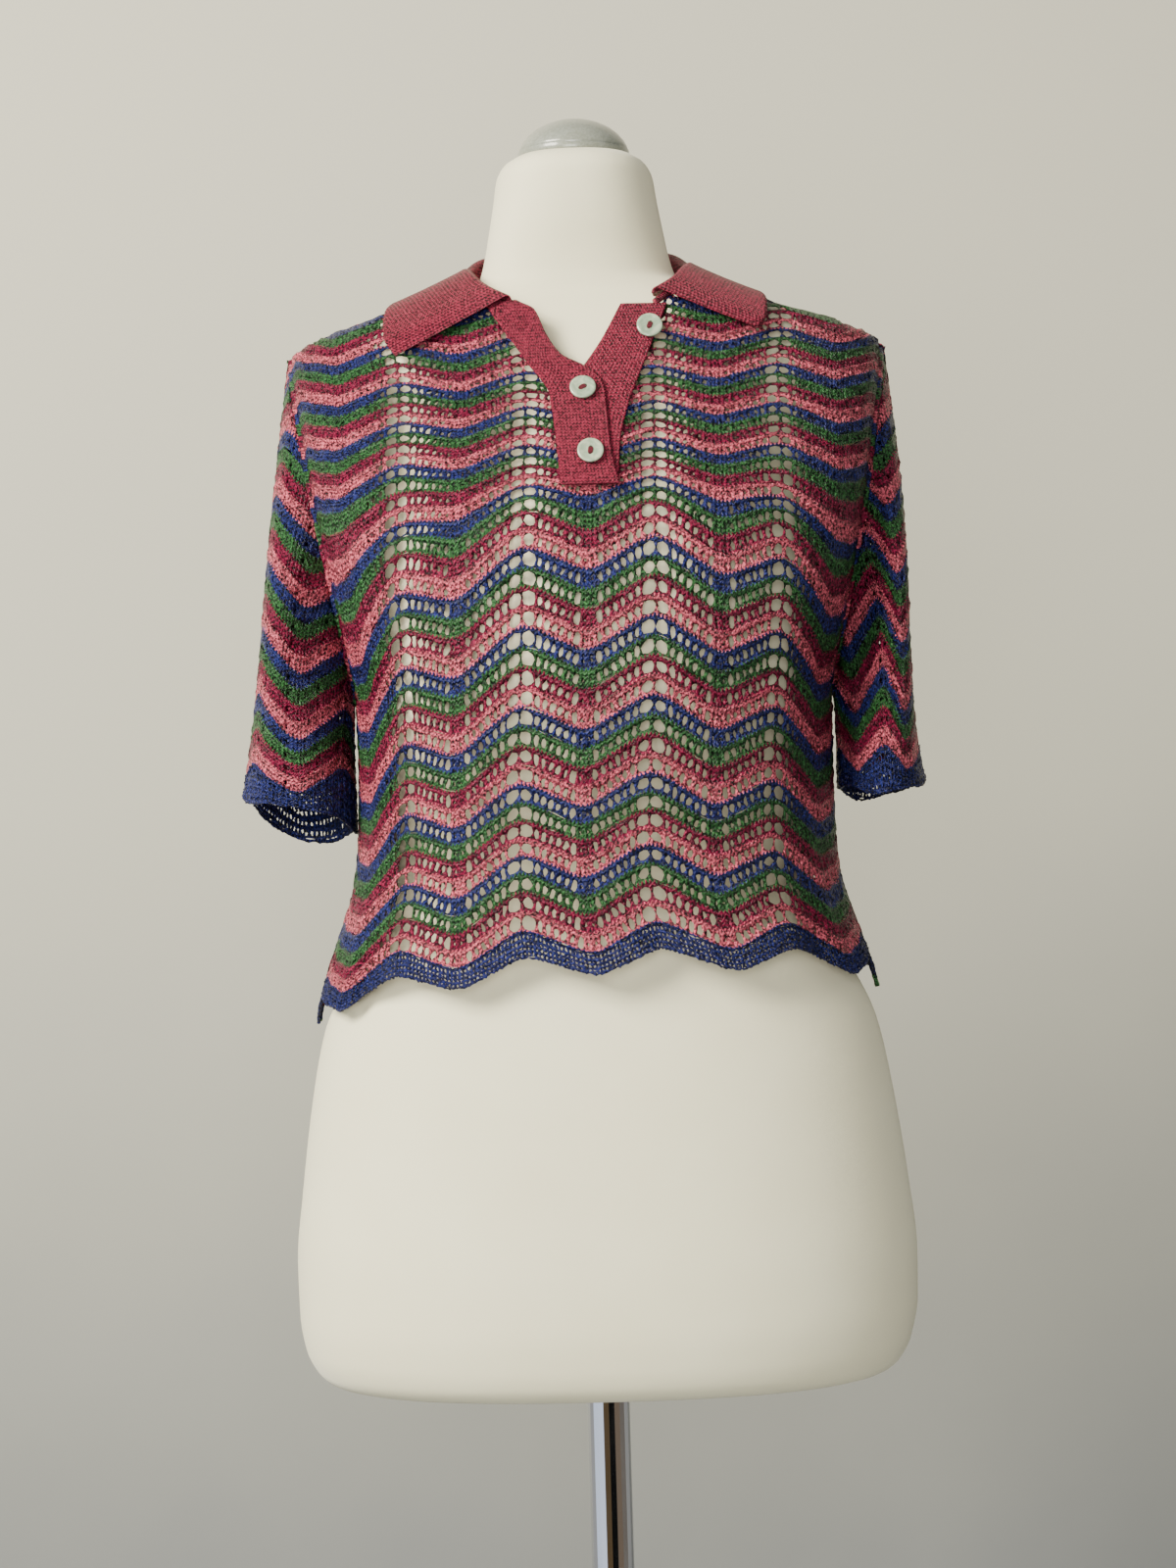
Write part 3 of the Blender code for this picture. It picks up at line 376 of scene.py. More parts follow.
def cellColumns(openings):
    # left side, right side, half width and half height of the hole in each column of stitches
    cell = laceCell
    wide = cell["eyelet"] / 2 * cell["eyeletHalf"] * openings["eyelet"]
    tall = (cell["high"] - cell["low"]) / 2 * cell["eyeletHalf"] * openings["tall"]
    step = (1 - 2 * cell["eyelet"]) / cell["slits"]
    columns = [(-0.5, -0.5 + cell["eyelet"], wide, tall)]
    for i in range(cell["slits"]):
        left = -0.5 + cell["eyelet"] + step * i
        valley = 1 - abs(i - (cell["slits"] - 1) / 2) / (cell["slits"] / 2)
        size = openings["slit"] * (cell["crestSize"] - cell["shrink"] * valley)
        if valley > cell["valleyFrom"]:
            size *= cell["valleySize"]
        elif valley > cell["besideFrom"]:
            size *= cell["besideSize"]
        if i % openings["every"]:
            size = 0.0
        columns.append((left, left + step, step / 2 * cell["slitHalf"] * size, cell["slitTall"] * size))
    return columns + [(0.5 - cell["eyelet"], 0.5, wide, tall)]


eightTurns = [math.radians(225 + 45 * i) for i in range(8)]


def eightRound(bm, corners, hole):
    # faces between eight points round a square and the eight of the hole inside it
    for i in range(8):
        j = (i + 1) % 8
        bm.faces.new((corners[i], corners[j], hole[j], hole[i]))


def meshFrom(bm, name):
    mesh = bpy.data.meshes.new(name)
    bm.to_mesh(mesh)
    bm.free()
    return mesh


def finishCell(bm, name):
    bmesh.ops.remove_doubles(bm, verts=bm.verts, dist=weld)
    return bpy.data.objects.new(name, meshFrom(bm, name))


def makeCell(name, openings):
    cell, relief = laceCell, cellRelief
    bm = bmesh.new()
    inwards = bm.verts.layers.float_vector.new("inwards")
    low, middle, high, ridge = cell["low"], cell["middle"], cell["high"], cell["ridge"]
    lines = {-0.5: relief["foot"], low: relief["low"], middle: relief["middle"], high: relief["high"],
             ridge: relief["ridge"], 0.5: relief["foot"]}

    def vert(s, v, lift):
        slope = -math.sin(2 * math.pi * (s - 0.5))
        leaned = s - cell["lean"] * slope * (v - middle) * (0.25 - s * s) * 4
        return bm.verts.new((leaned * cell["width"], v * cell["height"], lift * cell["relief"] * mm))

    for left, right, wide, tall in cellColumns(openings):
        centre = (left + right) / 2
        at = {(s, v): vert(s, v, lift + cell["posts"]) for s in (left, right) for v, lift in lines.items()}
        at.update({(centre, v): vert(centre, v, lines[v]) for v in (low, high)})
        bm.faces.new((at[left, -0.5], at[right, -0.5], at[right, low], at[centre, low], at[left, low]))
        bm.faces.new((at[left, high], at[centre, high], at[right, high], at[right, ridge], at[left, ridge]))
        bm.faces.new((at[left, ridge], at[right, ridge], at[right, 0.5], at[left, 0.5]))
        corners = [at[left, low], at[centre, low], at[right, low], at[right, middle],
                   at[right, high], at[centre, high], at[left, high], at[left, middle]]
        if not wide:
            bm.faces.new(corners)
            continue
        hole = [vert(centre + wide * math.cos(turn), (low + high) / 2 + tall * math.sin(turn),
                     relief["hole"]) for turn in eightTurns]
        heart = sum((point.co for point in hole), Vector()) / 8
        for point in hole:
            point[inwards] = heart - point.co
        eightRound(bm, corners, hole)
    return finishCell(bm, name)


# The open band under the lace: rows from its loose edge (0) up, with their holes' half sizes
netCell = dict(
    rows=((0.0, 0.07, 0.0, 0.0), (0.07, 0.26, 0.31, 0.072), (0.26, 0.45, 0.31, 0.072),
          (0.45, 0.64, 0.31, 0.072), (0.64, 0.91, 0.30, 0.105), (0.91, 1.0, 0.0, 0.0)),
    edge=0.6, strand=0.15, post=0.4, hole=0.1, loop=0.03, width=0.0023, height=0.016,
)


def makeNet(name, opening):
    cell = netCell
    bm = bmesh.new()
    for foot, top, wide, tall in cell["rows"]:
        middle = (foot + top) / 2
        lift = {foot: cell["strand"], top: cell["strand"], middle: 0.0}
        if not wide:
            lift = {v: cell["edge"] for v in lift}

        def vert(s, v, raised):
            drop = cell["loop"] if v == 0.0 and s == 0.0 else 0.0
            return bm.verts.new((s * cell["width"], (v - drop) * cell["height"], raised * mm))

        corners = [vert(s, v, lift[v] + (cell["post"] if s else 0.0)) for s, v in (
            (-0.5, foot), (0.0, foot), (0.5, foot), (0.5, middle), (0.5, top), (0.0, top), (-0.5, top),
            (-0.5, middle))]
        if not wide:
            bm.faces.new(corners)
            continue
        hole = [vert(wide * opening * math.cos(turn) + 1e-6, middle + tall * opening * math.sin(turn),
                     cell["hole"]) for turn in eightTurns]
        eightRound(bm, corners, hole)
    return finishCell(bm, name)


def laceTree():
    # repeats one cell over a flat grid of repeats and stripes
    tree = bpy.data.node_groups.new("laceGrid", "GeometryNodeTree")
    face = tree.interface
    face.new_socket("Geometry", in_out="INPUT", socket_type="NodeSocketGeometry")
    for name, kind in (("Cell", "NodeSocketObject"), ("Repeats", "NodeSocketInt"),
                       ("Stripes", "NodeSocketInt"), ("Repeat Width", "NodeSocketFloat"),
                       ("Stripe Height", "NodeSocketFloat"), ("Finish", "NodeSocketMaterial")):
        face.new_socket(name, in_out="INPUT", socket_type=kind)
    face.new_socket("Geometry", in_out="OUTPUT", socket_type="NodeSocketGeometry")
    node, link = tree.nodes.new, tree.links.new
    given, out = node("NodeGroupInput"), node("NodeGroupOutput")

    def size(count, step):
        less = node("ShaderNodeMath")
        less.operation, less.inputs[1].default_value = "SUBTRACT", 1
        times = node("ShaderNodeMath")
        times.operation = "MULTIPLY"
        link(given.outputs[count], less.inputs[0])
        link(less.outputs[0], times.inputs[0])
        link(given.outputs[step], times.inputs[1])
        return times.outputs[0]

    grid = node("GeometryNodeMeshGrid")
    link(size("Repeats", "Repeat Width"), grid.inputs["Size X"])
    link(size("Stripes", "Stripe Height"), grid.inputs["Size Y"])
    link(given.outputs["Repeats"], grid.inputs["Vertices X"])
    link(given.outputs["Stripes"], grid.inputs["Vertices Y"])
    cell, place = node("GeometryNodeObjectInfo"), node("GeometryNodeInstanceOnPoints")
    realize, merge = node("GeometryNodeRealizeInstances"), node("GeometryNodeMergeByDistance")
    finish = node("GeometryNodeSetMaterial")
    merge.inputs["Distance"].default_value = 1e-5
    link(given.outputs["Cell"], cell.inputs["Object"])
    link(grid.outputs["Mesh"], place.inputs["Points"])
    link(cell.outputs["Geometry"], place.inputs["Instance"])
    link(place.outputs["Instances"], realize.inputs[0])
    link(realize.outputs[0], merge.inputs["Geometry"])
    link(merge.outputs[0], finish.inputs["Geometry"])
    link(given.outputs["Finish"], finish.inputs["Material"])
    link(finish.outputs[0], out.inputs[0])
    return tree


def flatLace(cell, size, repeats, stripeCount, finish):
    # repeats a cell; returns the flat mesh and its points in cells across, cells up and lift (mm)
    holder = newObject("flatLace", bpy.data.meshes.new("flatLace"))
    grid = holder.modifiers.new("lace", "NODES")
    grid.node_group = laceNodes
    values = {"Cell": cell, "Repeats": repeats, "Stripes": stripeCount, "Repeat Width": size["width"],
              "Stripe Height": size["height"], "Finish": finish}
    for socket in laceNodes.interface.items_tree:
        if socket.in_out == "INPUT" and socket.name in values:
            grid[socket.identifier] = values[socket.name]
    depsgraph = bpy.context.evaluated_depsgraph_get()
    mesh = bpy.data.meshes.new_from_object(holder.evaluated_get(depsgraph))
    bpy.data.objects.remove(holder)
    flat = np.zeros(len(mesh.vertices) * 3)
    mesh.vertices.foreach_get("co", flat)
    flat = flat.reshape(-1, 3)
    return mesh, flat[:, 0] / size["width"], flat[:, 1] / size["height"], flat[:, 2] / mm


# How far holes are drawn in: at random everywhere, at the panels' sides, and near the chest's valleys
holeShape = dict(least=-0.14, most=0.20, sideFrom=1.55, sideTo=2.0, side=0.70, chestFrom=19.0, chestTo=25.0,
                 chest=0.45, valleyGain=1.5, valleyFrom=0.25, limit=0.88, seed=11)


def drawnIn(mesh, size, s, k, panel):
    # the flat places s and k with each hole's edge moved towards its middle
    shape = holeShape
    inwards = np.zeros(len(s) * 3)
    mesh.attributes["inwards"].data.foreach_get("vector", inwards)
    inwards = inwards.reshape(-1, 3)
    across, up = inwards[:, 0] / size["width"], inwards[:, 1] / size["height"]
    middle = np.round(np.stack([s + across, k + up], axis=1), 3)
    hole = np.unique(middle, axis=0, return_inverse=True)[1].ravel()
    shut = np.random.default_rng(shape["seed"]).uniform(shape["least"], shape["most"], hole.max() + 1)[hole]
    if panel:
        side = np.clip((np.abs(s) - shape["sideFrom"]) / (shape["sideTo"] - shape["sideFrom"]), 0, 1)
        chest = np.clip((k - shape["chestFrom"]) / (shape["chestTo"] - shape["chestFrom"]), 0, 1)
        valley = np.clip((1 - chevron(s)) / 2 * shape["valleyGain"] - shape["valleyFrom"], 0, 1)
        shut = shut + side * shape["side"] + chest * valley * shape["chest"]
    shut = np.minimum(shut, shape["limit"])
    return s + across * shut, k + up * shut


def addPattern(mesh, u, v):
    # a UV map that gives a shader the place across and along the knitting
    layer = mesh.uv_layers.new(name="knit")
    loops = np.zeros(len(mesh.loops), int)
    mesh.loops.foreach_get("vertex_index", loops)
    layer.data.foreach_set("uv", np.stack([u[loops], v[loops]], axis=1).ravel())


def dropFaces(mesh, gone):
    bm = bmesh.new()
    bm.from_mesh(mesh)
    bm.faces.ensure_lookup_table()
    bmesh.ops.delete(bm, geom=[bm.faces[int(i)] for i in np.flatnonzero(gone)], context="FACES")
    bm.to_mesh(mesh)
    bm.free()


def addPiece(name, mesh, finish, wall=None):
    if not mesh.materials:
        mesh.materials.append(finish)
    mesh.shade_smooth()
    piece = newObject(name, mesh)
    if wall:
        shell = piece.modifiers.new("wall", "SOLIDIFY")
        shell.thickness, shell.offset = wall * mm, -1
    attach(piece, "root")
    return piece


laceLift = dict(base=1.25, wall=1.0, uneven=0.30, seed=7)


def drape(name, cloth, flat, s, k, limits, finish, flip=False):
    # lays a flat mesh over a worn surface and trims it at the cut edges
    mesh, relief = flat
    inside = np.clip(s, *limits)
    z = cloth.stripeAt(inside, k)
    top = cloth.topAt(inside)
    outside = (np.abs(inside - s) > 1e-6) | (z > top)
    gone = np.array([outside[np.array(polygon.vertices)].all() for polygon in mesh.polygons])
    uneven = np.random.default_rng(laceLift["seed"]).normal(0, laceLift["uneven"], (len(s), 3))
    points = cloth.place(inside, np.minimum(z, top), relief + laceLift["base"]) + uneven
    mesh.vertices.foreach_set("co", (points * mm).ravel())
    addPattern(mesh, s * (laceCell["slits"] + 2), k)
    dropFaces(mesh, gone)
    if flip:
        mesh.flip_normals()
    return addPiece(name, mesh, finish, laceLift["wall"])


def dressLace(name, cloth, cell, repeats, firstStripe, stripeCount, limits, shift=0.0, flip=False):
    mesh, s, k, relief = flatLace(cell, laceCell, repeats, stripeCount, laceYarn)
    k = k + firstStripe + (stripeCount - 1) / 2
    s, k = drawnIn(mesh, laceCell, s + shift, k, shift == 0)
    return drape(name, cloth, (mesh, relief), s, k, limits, laceYarn, flip=flip)


def dressNet(name, cloth, cell, wales, foot, limits, flip=False):
    # the plain blue band from its loose edge, at stripe foot, up to the first waved stripe
    mesh, s, k, relief = flatLace(cell, netCell, wales, 1, blueYarn)
    s = limits[0] + (s / wales + 0.5) * (limits[1] - limits[0])
    return drape(name, cloth, (mesh, relief), s, foot + k * (0.5 - foot), limits, blueYarn, flip=flip)


def setInputs(tree, node, inputs):
    # sets each input to a value, or links it to another node's output
    for name, value in inputs.items():
        if isinstance(value, bpy.types.NodeSocket):
            tree.links.new(value, node.inputs[name])
        else:
            node.inputs[name].default_value = value


def addNode(tree, kind, inputs, **settings):
    node = tree.nodes.new("ShaderNode" + kind)
    for name, value in settings.items():
        setattr(node, name, value)
    setInputs(tree, node, inputs)
    return node


def mathNode(tree, operation, *values):
    return addNode(tree, "Math", dict(enumerate(values)), operation=operation).outputs[0]


def objectPlace(tree):
    return addNode(tree, "TexCoord", {}).outputs["Object"]


def knitPlace(tree):
    return addNode(tree, "UVMap", {}, uv_map="knit").outputs[0]


def noise(tree, place, **inputs):
    return addNode(tree, "TexNoise", {"Vector": place, **inputs}).outputs["Fac"]


def toneRamp(tree, place, stops, interpolation="LINEAR"):
    # a colour ramp over stops of (place, colour), in rising order
    ramp = addNode(tree, "ValToRGB", {0: place})
    ramp.color_ramp.interpolation = interpolation
    elements = ramp.color_ramp.elements
    elements.remove(elements[1])
    for at, colour in stops:
        stop = elements[0] if at == stops[0][0] else elements.new(at)
        stop.position, stop.color = at, (*colour, 1)
    return ramp.outputs[0]


def addBump(tree, shader, height, **inputs):
    bump = addNode(tree, "Bump", {"Height": height, **inputs})
    tree.links.new(bump.outputs["Normal"], shader.inputs["Normal"])


def material(name):
    made = bpy.data.materials.new(name)
    made.use_nodes = True
    return made, made.node_tree, made.node_tree.nodes["Principled BSDF"]


# Yarn colours, base colour in linear light
yarns = dict(blue=(0.007, 0.010, 0.066), green=(0.014, 0.056, 0.015), magenta=(0.105, 0.003, 0.020),
             pink=(0.320, 0.056, 0.080), rose=(0.168, 0.014, 0.032))
# stitches and courses are counted per unit of a piece's own UV map
# each look's lowest and highest scale of the yarn colour are painted shade between the strands and painted
# glints on the shiny yarn; its loops weight paints shade into the grooves between the rows
laceLook = dict(speckle=560.0, paintedShade=0.02, paintedGlint=3.1, stitches=2.0, courses=4.0, loops=0.14, bump=1.0,
                depth=0.0012, roughness=0.40, specular=0.32)
ribLook = dict(speckle=620.0, paintedShade=0.12, paintedGlint=2.3, stitches=1.0, courses=1.0, loops=0.26, bump=1.0,
               depth=0.0014, roughness=0.45, specular=0.28)
# what all yarns share: the loops' rows, the noise that gives both relief and painted glints, and the range
# over which the colour is spread from painted shade to painted glint
yarnGrain = dict(row=0.3, detail=3.0, roughness=0.7, fleckHeight=1.5, low=0.42, high=0.70)
# the lace's colours from the hem up, and the small teeth between two stripes
stripeColours = dict(order=("blue", "pink", "magenta", "green"), teeth=0.07, toothCount=2, start=0.125)


def yarnShade(tree, shader, colour, look):
    # shiny twisted yarn: rows of small V-shaped loops in relief, with painted glints and painted shade in the
    # colour, darker in the grooves between the loops
    grain = yarnGrain
    split = addNode(tree, "SeparateXYZ", {0: knitPlace(tree)})
    across = mathNode(tree, "MULTIPLY", split.outputs["X"], look["stitches"])
    leg = mathNode(tree, "PINGPONG", across, 0.5)
    up = mathNode(tree, "MULTIPLY_ADD", split.outputs["Y"], look["courses"], leg)
    row = mathNode(tree, "SINE", mathNode(tree, "MULTIPLY", up, 2 * math.pi))
    loops = mathNode(tree, "MULTIPLY_ADD", row, grain["row"], leg)
    # noise that raises the yarn's relief and also paints glints and shade into its colour
    reliefAndGlint = noise(tree, objectPlace(tree), Scale=look["speckle"], Detail=grain["detail"],
                  Roughness=grain["roughness"])
    # the rows and the noise, spread from painted shade to painted glint, scale the yarn's colour
    shadeAndGlint = mathNode(tree, "MULTIPLY_ADD", loops, look["loops"], reliefAndGlint)
    paintedShadeToGlint = addNode(tree, "MapRange", {"Value": shadeAndGlint, "From Min": grain["low"], "From Max": grain["high"],
                                        "To Min": look["paintedShade"], "To Max": look["paintedGlint"]})
    # the yarn colour with its painted shade and painted glints
    paintedLightTint = addNode(tree, "VectorMath", {0: colour, "Scale": paintedShadeToGlint.outputs[0]}, operation="SCALE")
    height = mathNode(tree, "MULTIPLY_ADD", reliefAndGlint, grain["fleckHeight"], loops)
    addBump(tree, shader, height, Strength=look["bump"], Distance=look["depth"])
    setInputs(tree, shader, {"Base Color": paintedLightTint.outputs[0], "Roughness": look["roughness"],
                             "Specular IOR Level": look["specular"]})


def laceFinish():
    # the stripe colours follow the knitting's own stripe coordinate
    made, tree, shader = material("striped_lace_yarn")
    order = stripeColours["order"]
    split = addNode(tree, "SeparateXYZ", {0: knitPlace(tree)})
    across = mathNode(tree, "MULTIPLY", split.outputs["X"], 2 * math.pi * stripeColours["toothCount"])
    zigzag = mathNode(tree, "SINE", across)
    teeth = mathNode(tree, "MULTIPLY_ADD", zigzag, stripeColours["teeth"], split.outputs["Y"])
    turn = mathNode(tree, "MULTIPLY_ADD", teeth, 1 / len(order), stripeColours["start"])
    stops = [(i / len(order), yarns[name]) for i, name in enumerate(order)]
    colours = toneRamp(tree, mathNode(tree, "FRACT", turn), stops, "CONSTANT")
    yarnShade(tree, shader, colours, laceLook)
    return made


def plainYarn(name, yarn, look):
    made, tree, shader = material(name)
    yarnShade(tree, shader, yarns[yarn], look)
    return made


laceNodes = laceTree()
laceYarn = laceFinish()
blueYarn = plainYarn("blue_yarn", "blue", laceLook)
roseYarn = plainYarn("rose_rib", "rose", ribLook)
openCell = makeCell("open_cell", dict(eyelet=1.02, slit=1.14, tall=1.02, every=1))
denseCell = makeCell("dense_cell", dict(eyelet=0.36, slit=0.5, tall=0.42, every=5))
openNet = makeNet("open_net", 0.68)
denseNet = makeNet("dense_net", 0.6)

frontCloth, backCloth = panelCloth("Front"), panelCloth("Back")
leftCloth, rightCloth = sleeveCloth(leftSleeve), sleeveCloth(rightSleeve)
print("surfaces ready")


def gridMesh(name, points, u, v, closed=False):
    # a mesh over rows of points in mm, with its UV map in stitches and courses
    rows, columns = points.shape[:2]
    index = np.arange(rows * columns).reshape(rows, columns)
    after = np.roll(index, -1, axis=1) if closed else index[:, 1:]
    before = index if closed else index[:, :-1]
    faces = np.stack([before[:-1], after[:-1], after[1:], before[1:]], axis=-1).reshape(-1, 4)
    mesh = bpy.data.meshes.new(name)
    mesh.from_pydata((points.reshape(-1, 3) * mm).tolist(), [], faces.tolist())
    u, v = (np.broadcast_to(part, (rows, columns)).ravel() for part in (u, v))
    addPattern(mesh, u, v)
    return mesh


def normalsOf(points):
    normal = np.cross(np.gradient(points, axis=1), np.gradient(points, axis=0))
    return normal / np.maximum(np.linalg.norm(normal, axis=-1), 1e-9)[..., None]


# Panels: pieces of the lace by their first stripe and number of stripes. Stripe 0 is the blue hem.
panelLace = dict(repeats=7, wales=186, foot=-0.86, parts=(("low", 1, 20), ("high", 21, 28)))
sleeveLace = dict(first=1, stripes=30, wales=90)
seam = bodyShape["sideSeam"]
laceOf = {}
for side, cloth in (("front", frontCloth), ("back", backCloth)):
    for label, first, count in panelLace["parts"]:
        piece = dressLace(f"{side}_lace_{label}", cloth, openCell, panelLace["repeats"], first, count,
                          (-seam, seam), flip=side == "back")
        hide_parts(f"{side}_panel")
        laceOf[side, label] = piece
    hem = dressNet(f"{side}_hem_net", cloth, openNet, panelLace["wales"], panelLace["foot"],
                   (-seam, seam), flip=side == "back")
    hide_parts(f"{side}_panel")
    laceOf[side, "hem"] = hem
for cuff, cloth in ((leftSleeve, leftCloth), (rightSleeve, rightCloth)):
    turns, name, flip = cuff["repeats"], cuff["name"], cuff["sign"] > 0
    piece = dressLace(f"{name}_lace", cloth, denseCell, turns, sleeveLace["first"], sleeveLace["stripes"],
                      (0, turns), shift=turns / 2, flip=flip)
    band = dressNet(f"{name}_cuff", cloth, denseNet, sleeveLace["wales"], sleeveShape["foot"], (0, turns),
                    flip=flip)
    for made in (piece, band):
        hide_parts(name)
    laceOf[name, "lace"], laceOf[name, "cuff"] = piece, band
print("lace ready", {piece.name: len(piece.data.polygons) for piece in laceOf.values()})

# The two bands of dense rib: height and both edges in mm
bandShape = dict(
    top=((1333.5, -13.6, 21.6), (1355.0, -15.0, 17.5), (1375.0, -17.0, 16.0), (1391.0, -19.0, 15.0),
         (1400.0, -24.0, 12.0), (1408.0, -30.0, 3.0), (1416.0, -35.0, -11.0), (1430.0, -44.0, -20.0),
         (1446.0, -54.5, -27.0), (1451.5, -57.5, -37.0)),
    under=((1333.5, -13.0, 21.3), (1358.0, -12.0, 23.0), (1385.0, -9.0, 29.5), (1400.0, -4.0, 35.5),
           (1410.0, 3.5, 39.5), (1425.0, 13.5, 45.5), (1448.0, 26.0, 54.6)),
    lift=dict(under=2.6, top=5.2), lean=1470.0, out=1.5, across=80, along=84, ribs=16, rib=0.20,
    scallop=0.35, loops=42, rounding=0.9, roundWidth=0.7, wall=1.55, course=1.9,
)


def ribBand(name, rows, lift):
    shape = bandShape
    table = np.array(rows)
    z = np.linspace(table[0, 0], table[-1, 0], shape["along"] + 1)[:, None]
    share = np.linspace(0, 1, shape["across"] + 1)[None, :]
    loop = shape["scallop"] * np.sin(2 * math.pi * shape["loops"] * (z - z[0]) / (z[-1] - z[0]))
    left, right = (smooth(z, table[:, 0], table[:, i]) + side * loop for i, side in ((1, 1), (2, -1)))
    x = left + (right - left) * share
    y = surfaceY(x, np.minimum(z + 0 * x, shape["lean"]), "Front")
    rib = shape["rib"] * np.cos(2 * math.pi * shape["ribs"] * share)
    rounded = shape["rounding"] * np.exp(-np.minimum(share, 1 - share) * (right - left) / shape["roundWidth"])
    points = np.stack([x, y - lift - shape["out"] - rib + rounded, z + 0 * x], axis=-1)
    mesh = gridMesh(name, points, share * shape["ribs"], (z - z[0]) / shape["course"])
    piece = addPiece(name, mesh, roseYarn, shape["wall"])
    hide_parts(name.replace("_knit", ""))
    return piece


topBand = ribBand("top_band_knit", bandShape["top"], bandShape["lift"]["top"])
underBand = ribBand("under_band_knit", bandShape["under"], bandShape["lift"]["under"])

# The collar from its left front end round the back: neck seam (x, z), fold and outer edge (x, y, z)
collarShape = dict(
    rows=(
        ((-44, 1449.5), "Front", (-41, -69, 1453.5), (-112, -71, 1419)),
        ((-58, 1458.5), "Front", (-56, -56, 1463), (-119, -65, 1430)),
        ((-66.5, 1468), "Front", (-65, -38, 1473.5), (-119, -41, 1450.5)),
        ((-67.4, 1474.8), "Front", (-67.5, -8, 1480), (-111, -3, 1461.0)),
        ((-67.4, 1475.0), "Back", (-68, 21, 1484), (-103, 42, 1461.0)),
        ((-58, 1475.4), "Back", (-59, 46, 1495), (-83, 78, 1453)),
        ((-32, 1475), "Back", (-33, 67, 1502), (-44, 88, 1447)),
        ((0, 1475), "Back", (0, 72, 1504), (0, 91, 1446)),
        ((32, 1475), "Back", (33, 67, 1502), (44, 88, 1447)),
        ((58, 1475.4), "Back", (59, 46, 1495), (83, 78, 1453)),
        ((67.4, 1475.0), "Back", (68.5, 21, 1484), (102, 42, 1461.5)),
        ((67.4, 1474.8), "Front", (68.5, -8, 1480), (111, -3, 1461.5)),
        ((67, 1468), "Front", (65, -38, 1473.5), (116, -44, 1452.5)),
        ((60, 1460), "Front", (58, -55, 1464.5), (115, -64, 1438)),
        ((47, 1452), "Front", (46, -68, 1456), (109, -70, 1430)),
    ),
    radius=2.6, turn=0.72, bow=-0.4, along=264, stand=7, fold=8, fall=36, rib=2.3, course=2.0, wall=1.55,
    scallop=0.4, loops=88, scallopPower=8, out=1.65, thinner=0.7, measured=-8,
)


def curveThrough(known, share):
    # points at those shares of a smooth curve through the known ones
    at = share * (len(known) - 1)
    i = np.minimum(at.astype(int), len(known) - 2)
    t = (at - i)[:, None]
    before, after = known[np.maximum(i - 1, 0)], known[np.minimum(i + 2, len(known) - 1)]
    start, end = (known[i + 1] - before) / 2, (after - known[i]) / 2
    rise = known[i + 1] - known[i]
    return (known[i] + start * t + (3 * rise - 2 * start - end) * t * t
            + (start + end - 2 * rise) * t ** 3)


def makeCollar():
    shape = collarShape
    seamLine = np.array([(x, float(surfaceY(np.array(float(x)), np.array(float(z)), side)), z)
                         for (x, z), side, fold, edge in shape["rows"]])
    share = np.linspace(0, 1, shape["along"] + 1)
    base, top, edge = (curveThrough(np.array(line, float), share) for line in (
        seamLine, [row[2] for row in shape["rows"]], [row[3] for row in shape["rows"]]))
    out = edge - top
    out[:, 2] = 0
    out /= np.linalg.norm(out, axis=1)[:, None]
    up = np.array((0.0, 0.0, 1.0))
    centre = top + (out - up) * shape["radius"]
    inner = centre - out * shape["radius"]
    lines = [base + (inner - base) * t for t in np.linspace(0, 1, shape["stand"])[:-1]]
    for turn in math.pi * np.linspace(1, 1 - shape["turn"], shape["fold"]):
        lines.append(centre + (out * math.cos(turn) + up * math.sin(turn)) * shape["radius"])
    last = lines[-1]
    loop = shape["scallop"] * np.sin(2 * math.pi * shape["loops"] * share)[:, None]
    for t in np.linspace(0, 1, shape["fall"])[1:]:
        bowed = up * shape["bow"] * math.sin(math.pi * t) + out * loop * t ** shape["scallopPower"]
        lines.append(last + (edge - last) * t + bowed)
    points = np.stack(lines, axis=1)
    thick = np.full(points.shape[:2], shape["out"])
    thick[:, -1] -= shape["thinner"]
    thick[[0, -1]] -= shape["thinner"]
    points = points - normalsOf(points) * thick[..., None]
    width = np.cumsum(np.linalg.norm(np.diff(points, axis=1, prepend=points[:, :1]), axis=-1), axis=1)
    row = points[:, shape["measured"]]
    length = np.cumsum(np.linalg.norm(np.diff(row, axis=0, prepend=row[:1]), axis=-1))
    mesh = gridMesh("collar_knit", points, width / shape["rib"], length[:, None] / shape["course"])
    mesh.flip_normals()
    piece = addPiece("collar_knit", mesh, roseYarn, shape["wall"])
    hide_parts("collar")
    return piece


collarPiece = makeCollar()
print("collar and bands ready")

# Buttons: place, band, seat height and the turn of their holes in degrees
buttonShape = dict(
    rows=dict(button_top=(43.0, 1431.0, "under", 0.55, 68.0),
              button_middle=(1.5, 1390.0, "top", -0.1, 28.0),
              button_bottom=(5.0, 1350.5, "top", 0.05, 82.0)),
    reach=5.0, wall=1.8, hole=1.15, drill=12.0, spacing=3.6, steps=64, sharp=50,
    profile=((0.0, 1.55), (2.6, 1.6), (4.6, 1.75), (5.6, 2.0), (6.4, 2.18), (7.0, 2.2), (7.6, 2.05),
             (7.9, 1.7), (7.95, 1.1), (7.8, 0.55), (7.3, 0.12), (6.4, 0.0), (0.0, 0.0)),
    # the sewing thread arches between the holes and dips into them
    thread=0.46, strands=4, gap=1.5, overreach=1.08, arch=0.45, dip=11.2, dipFrom=0.85,
)


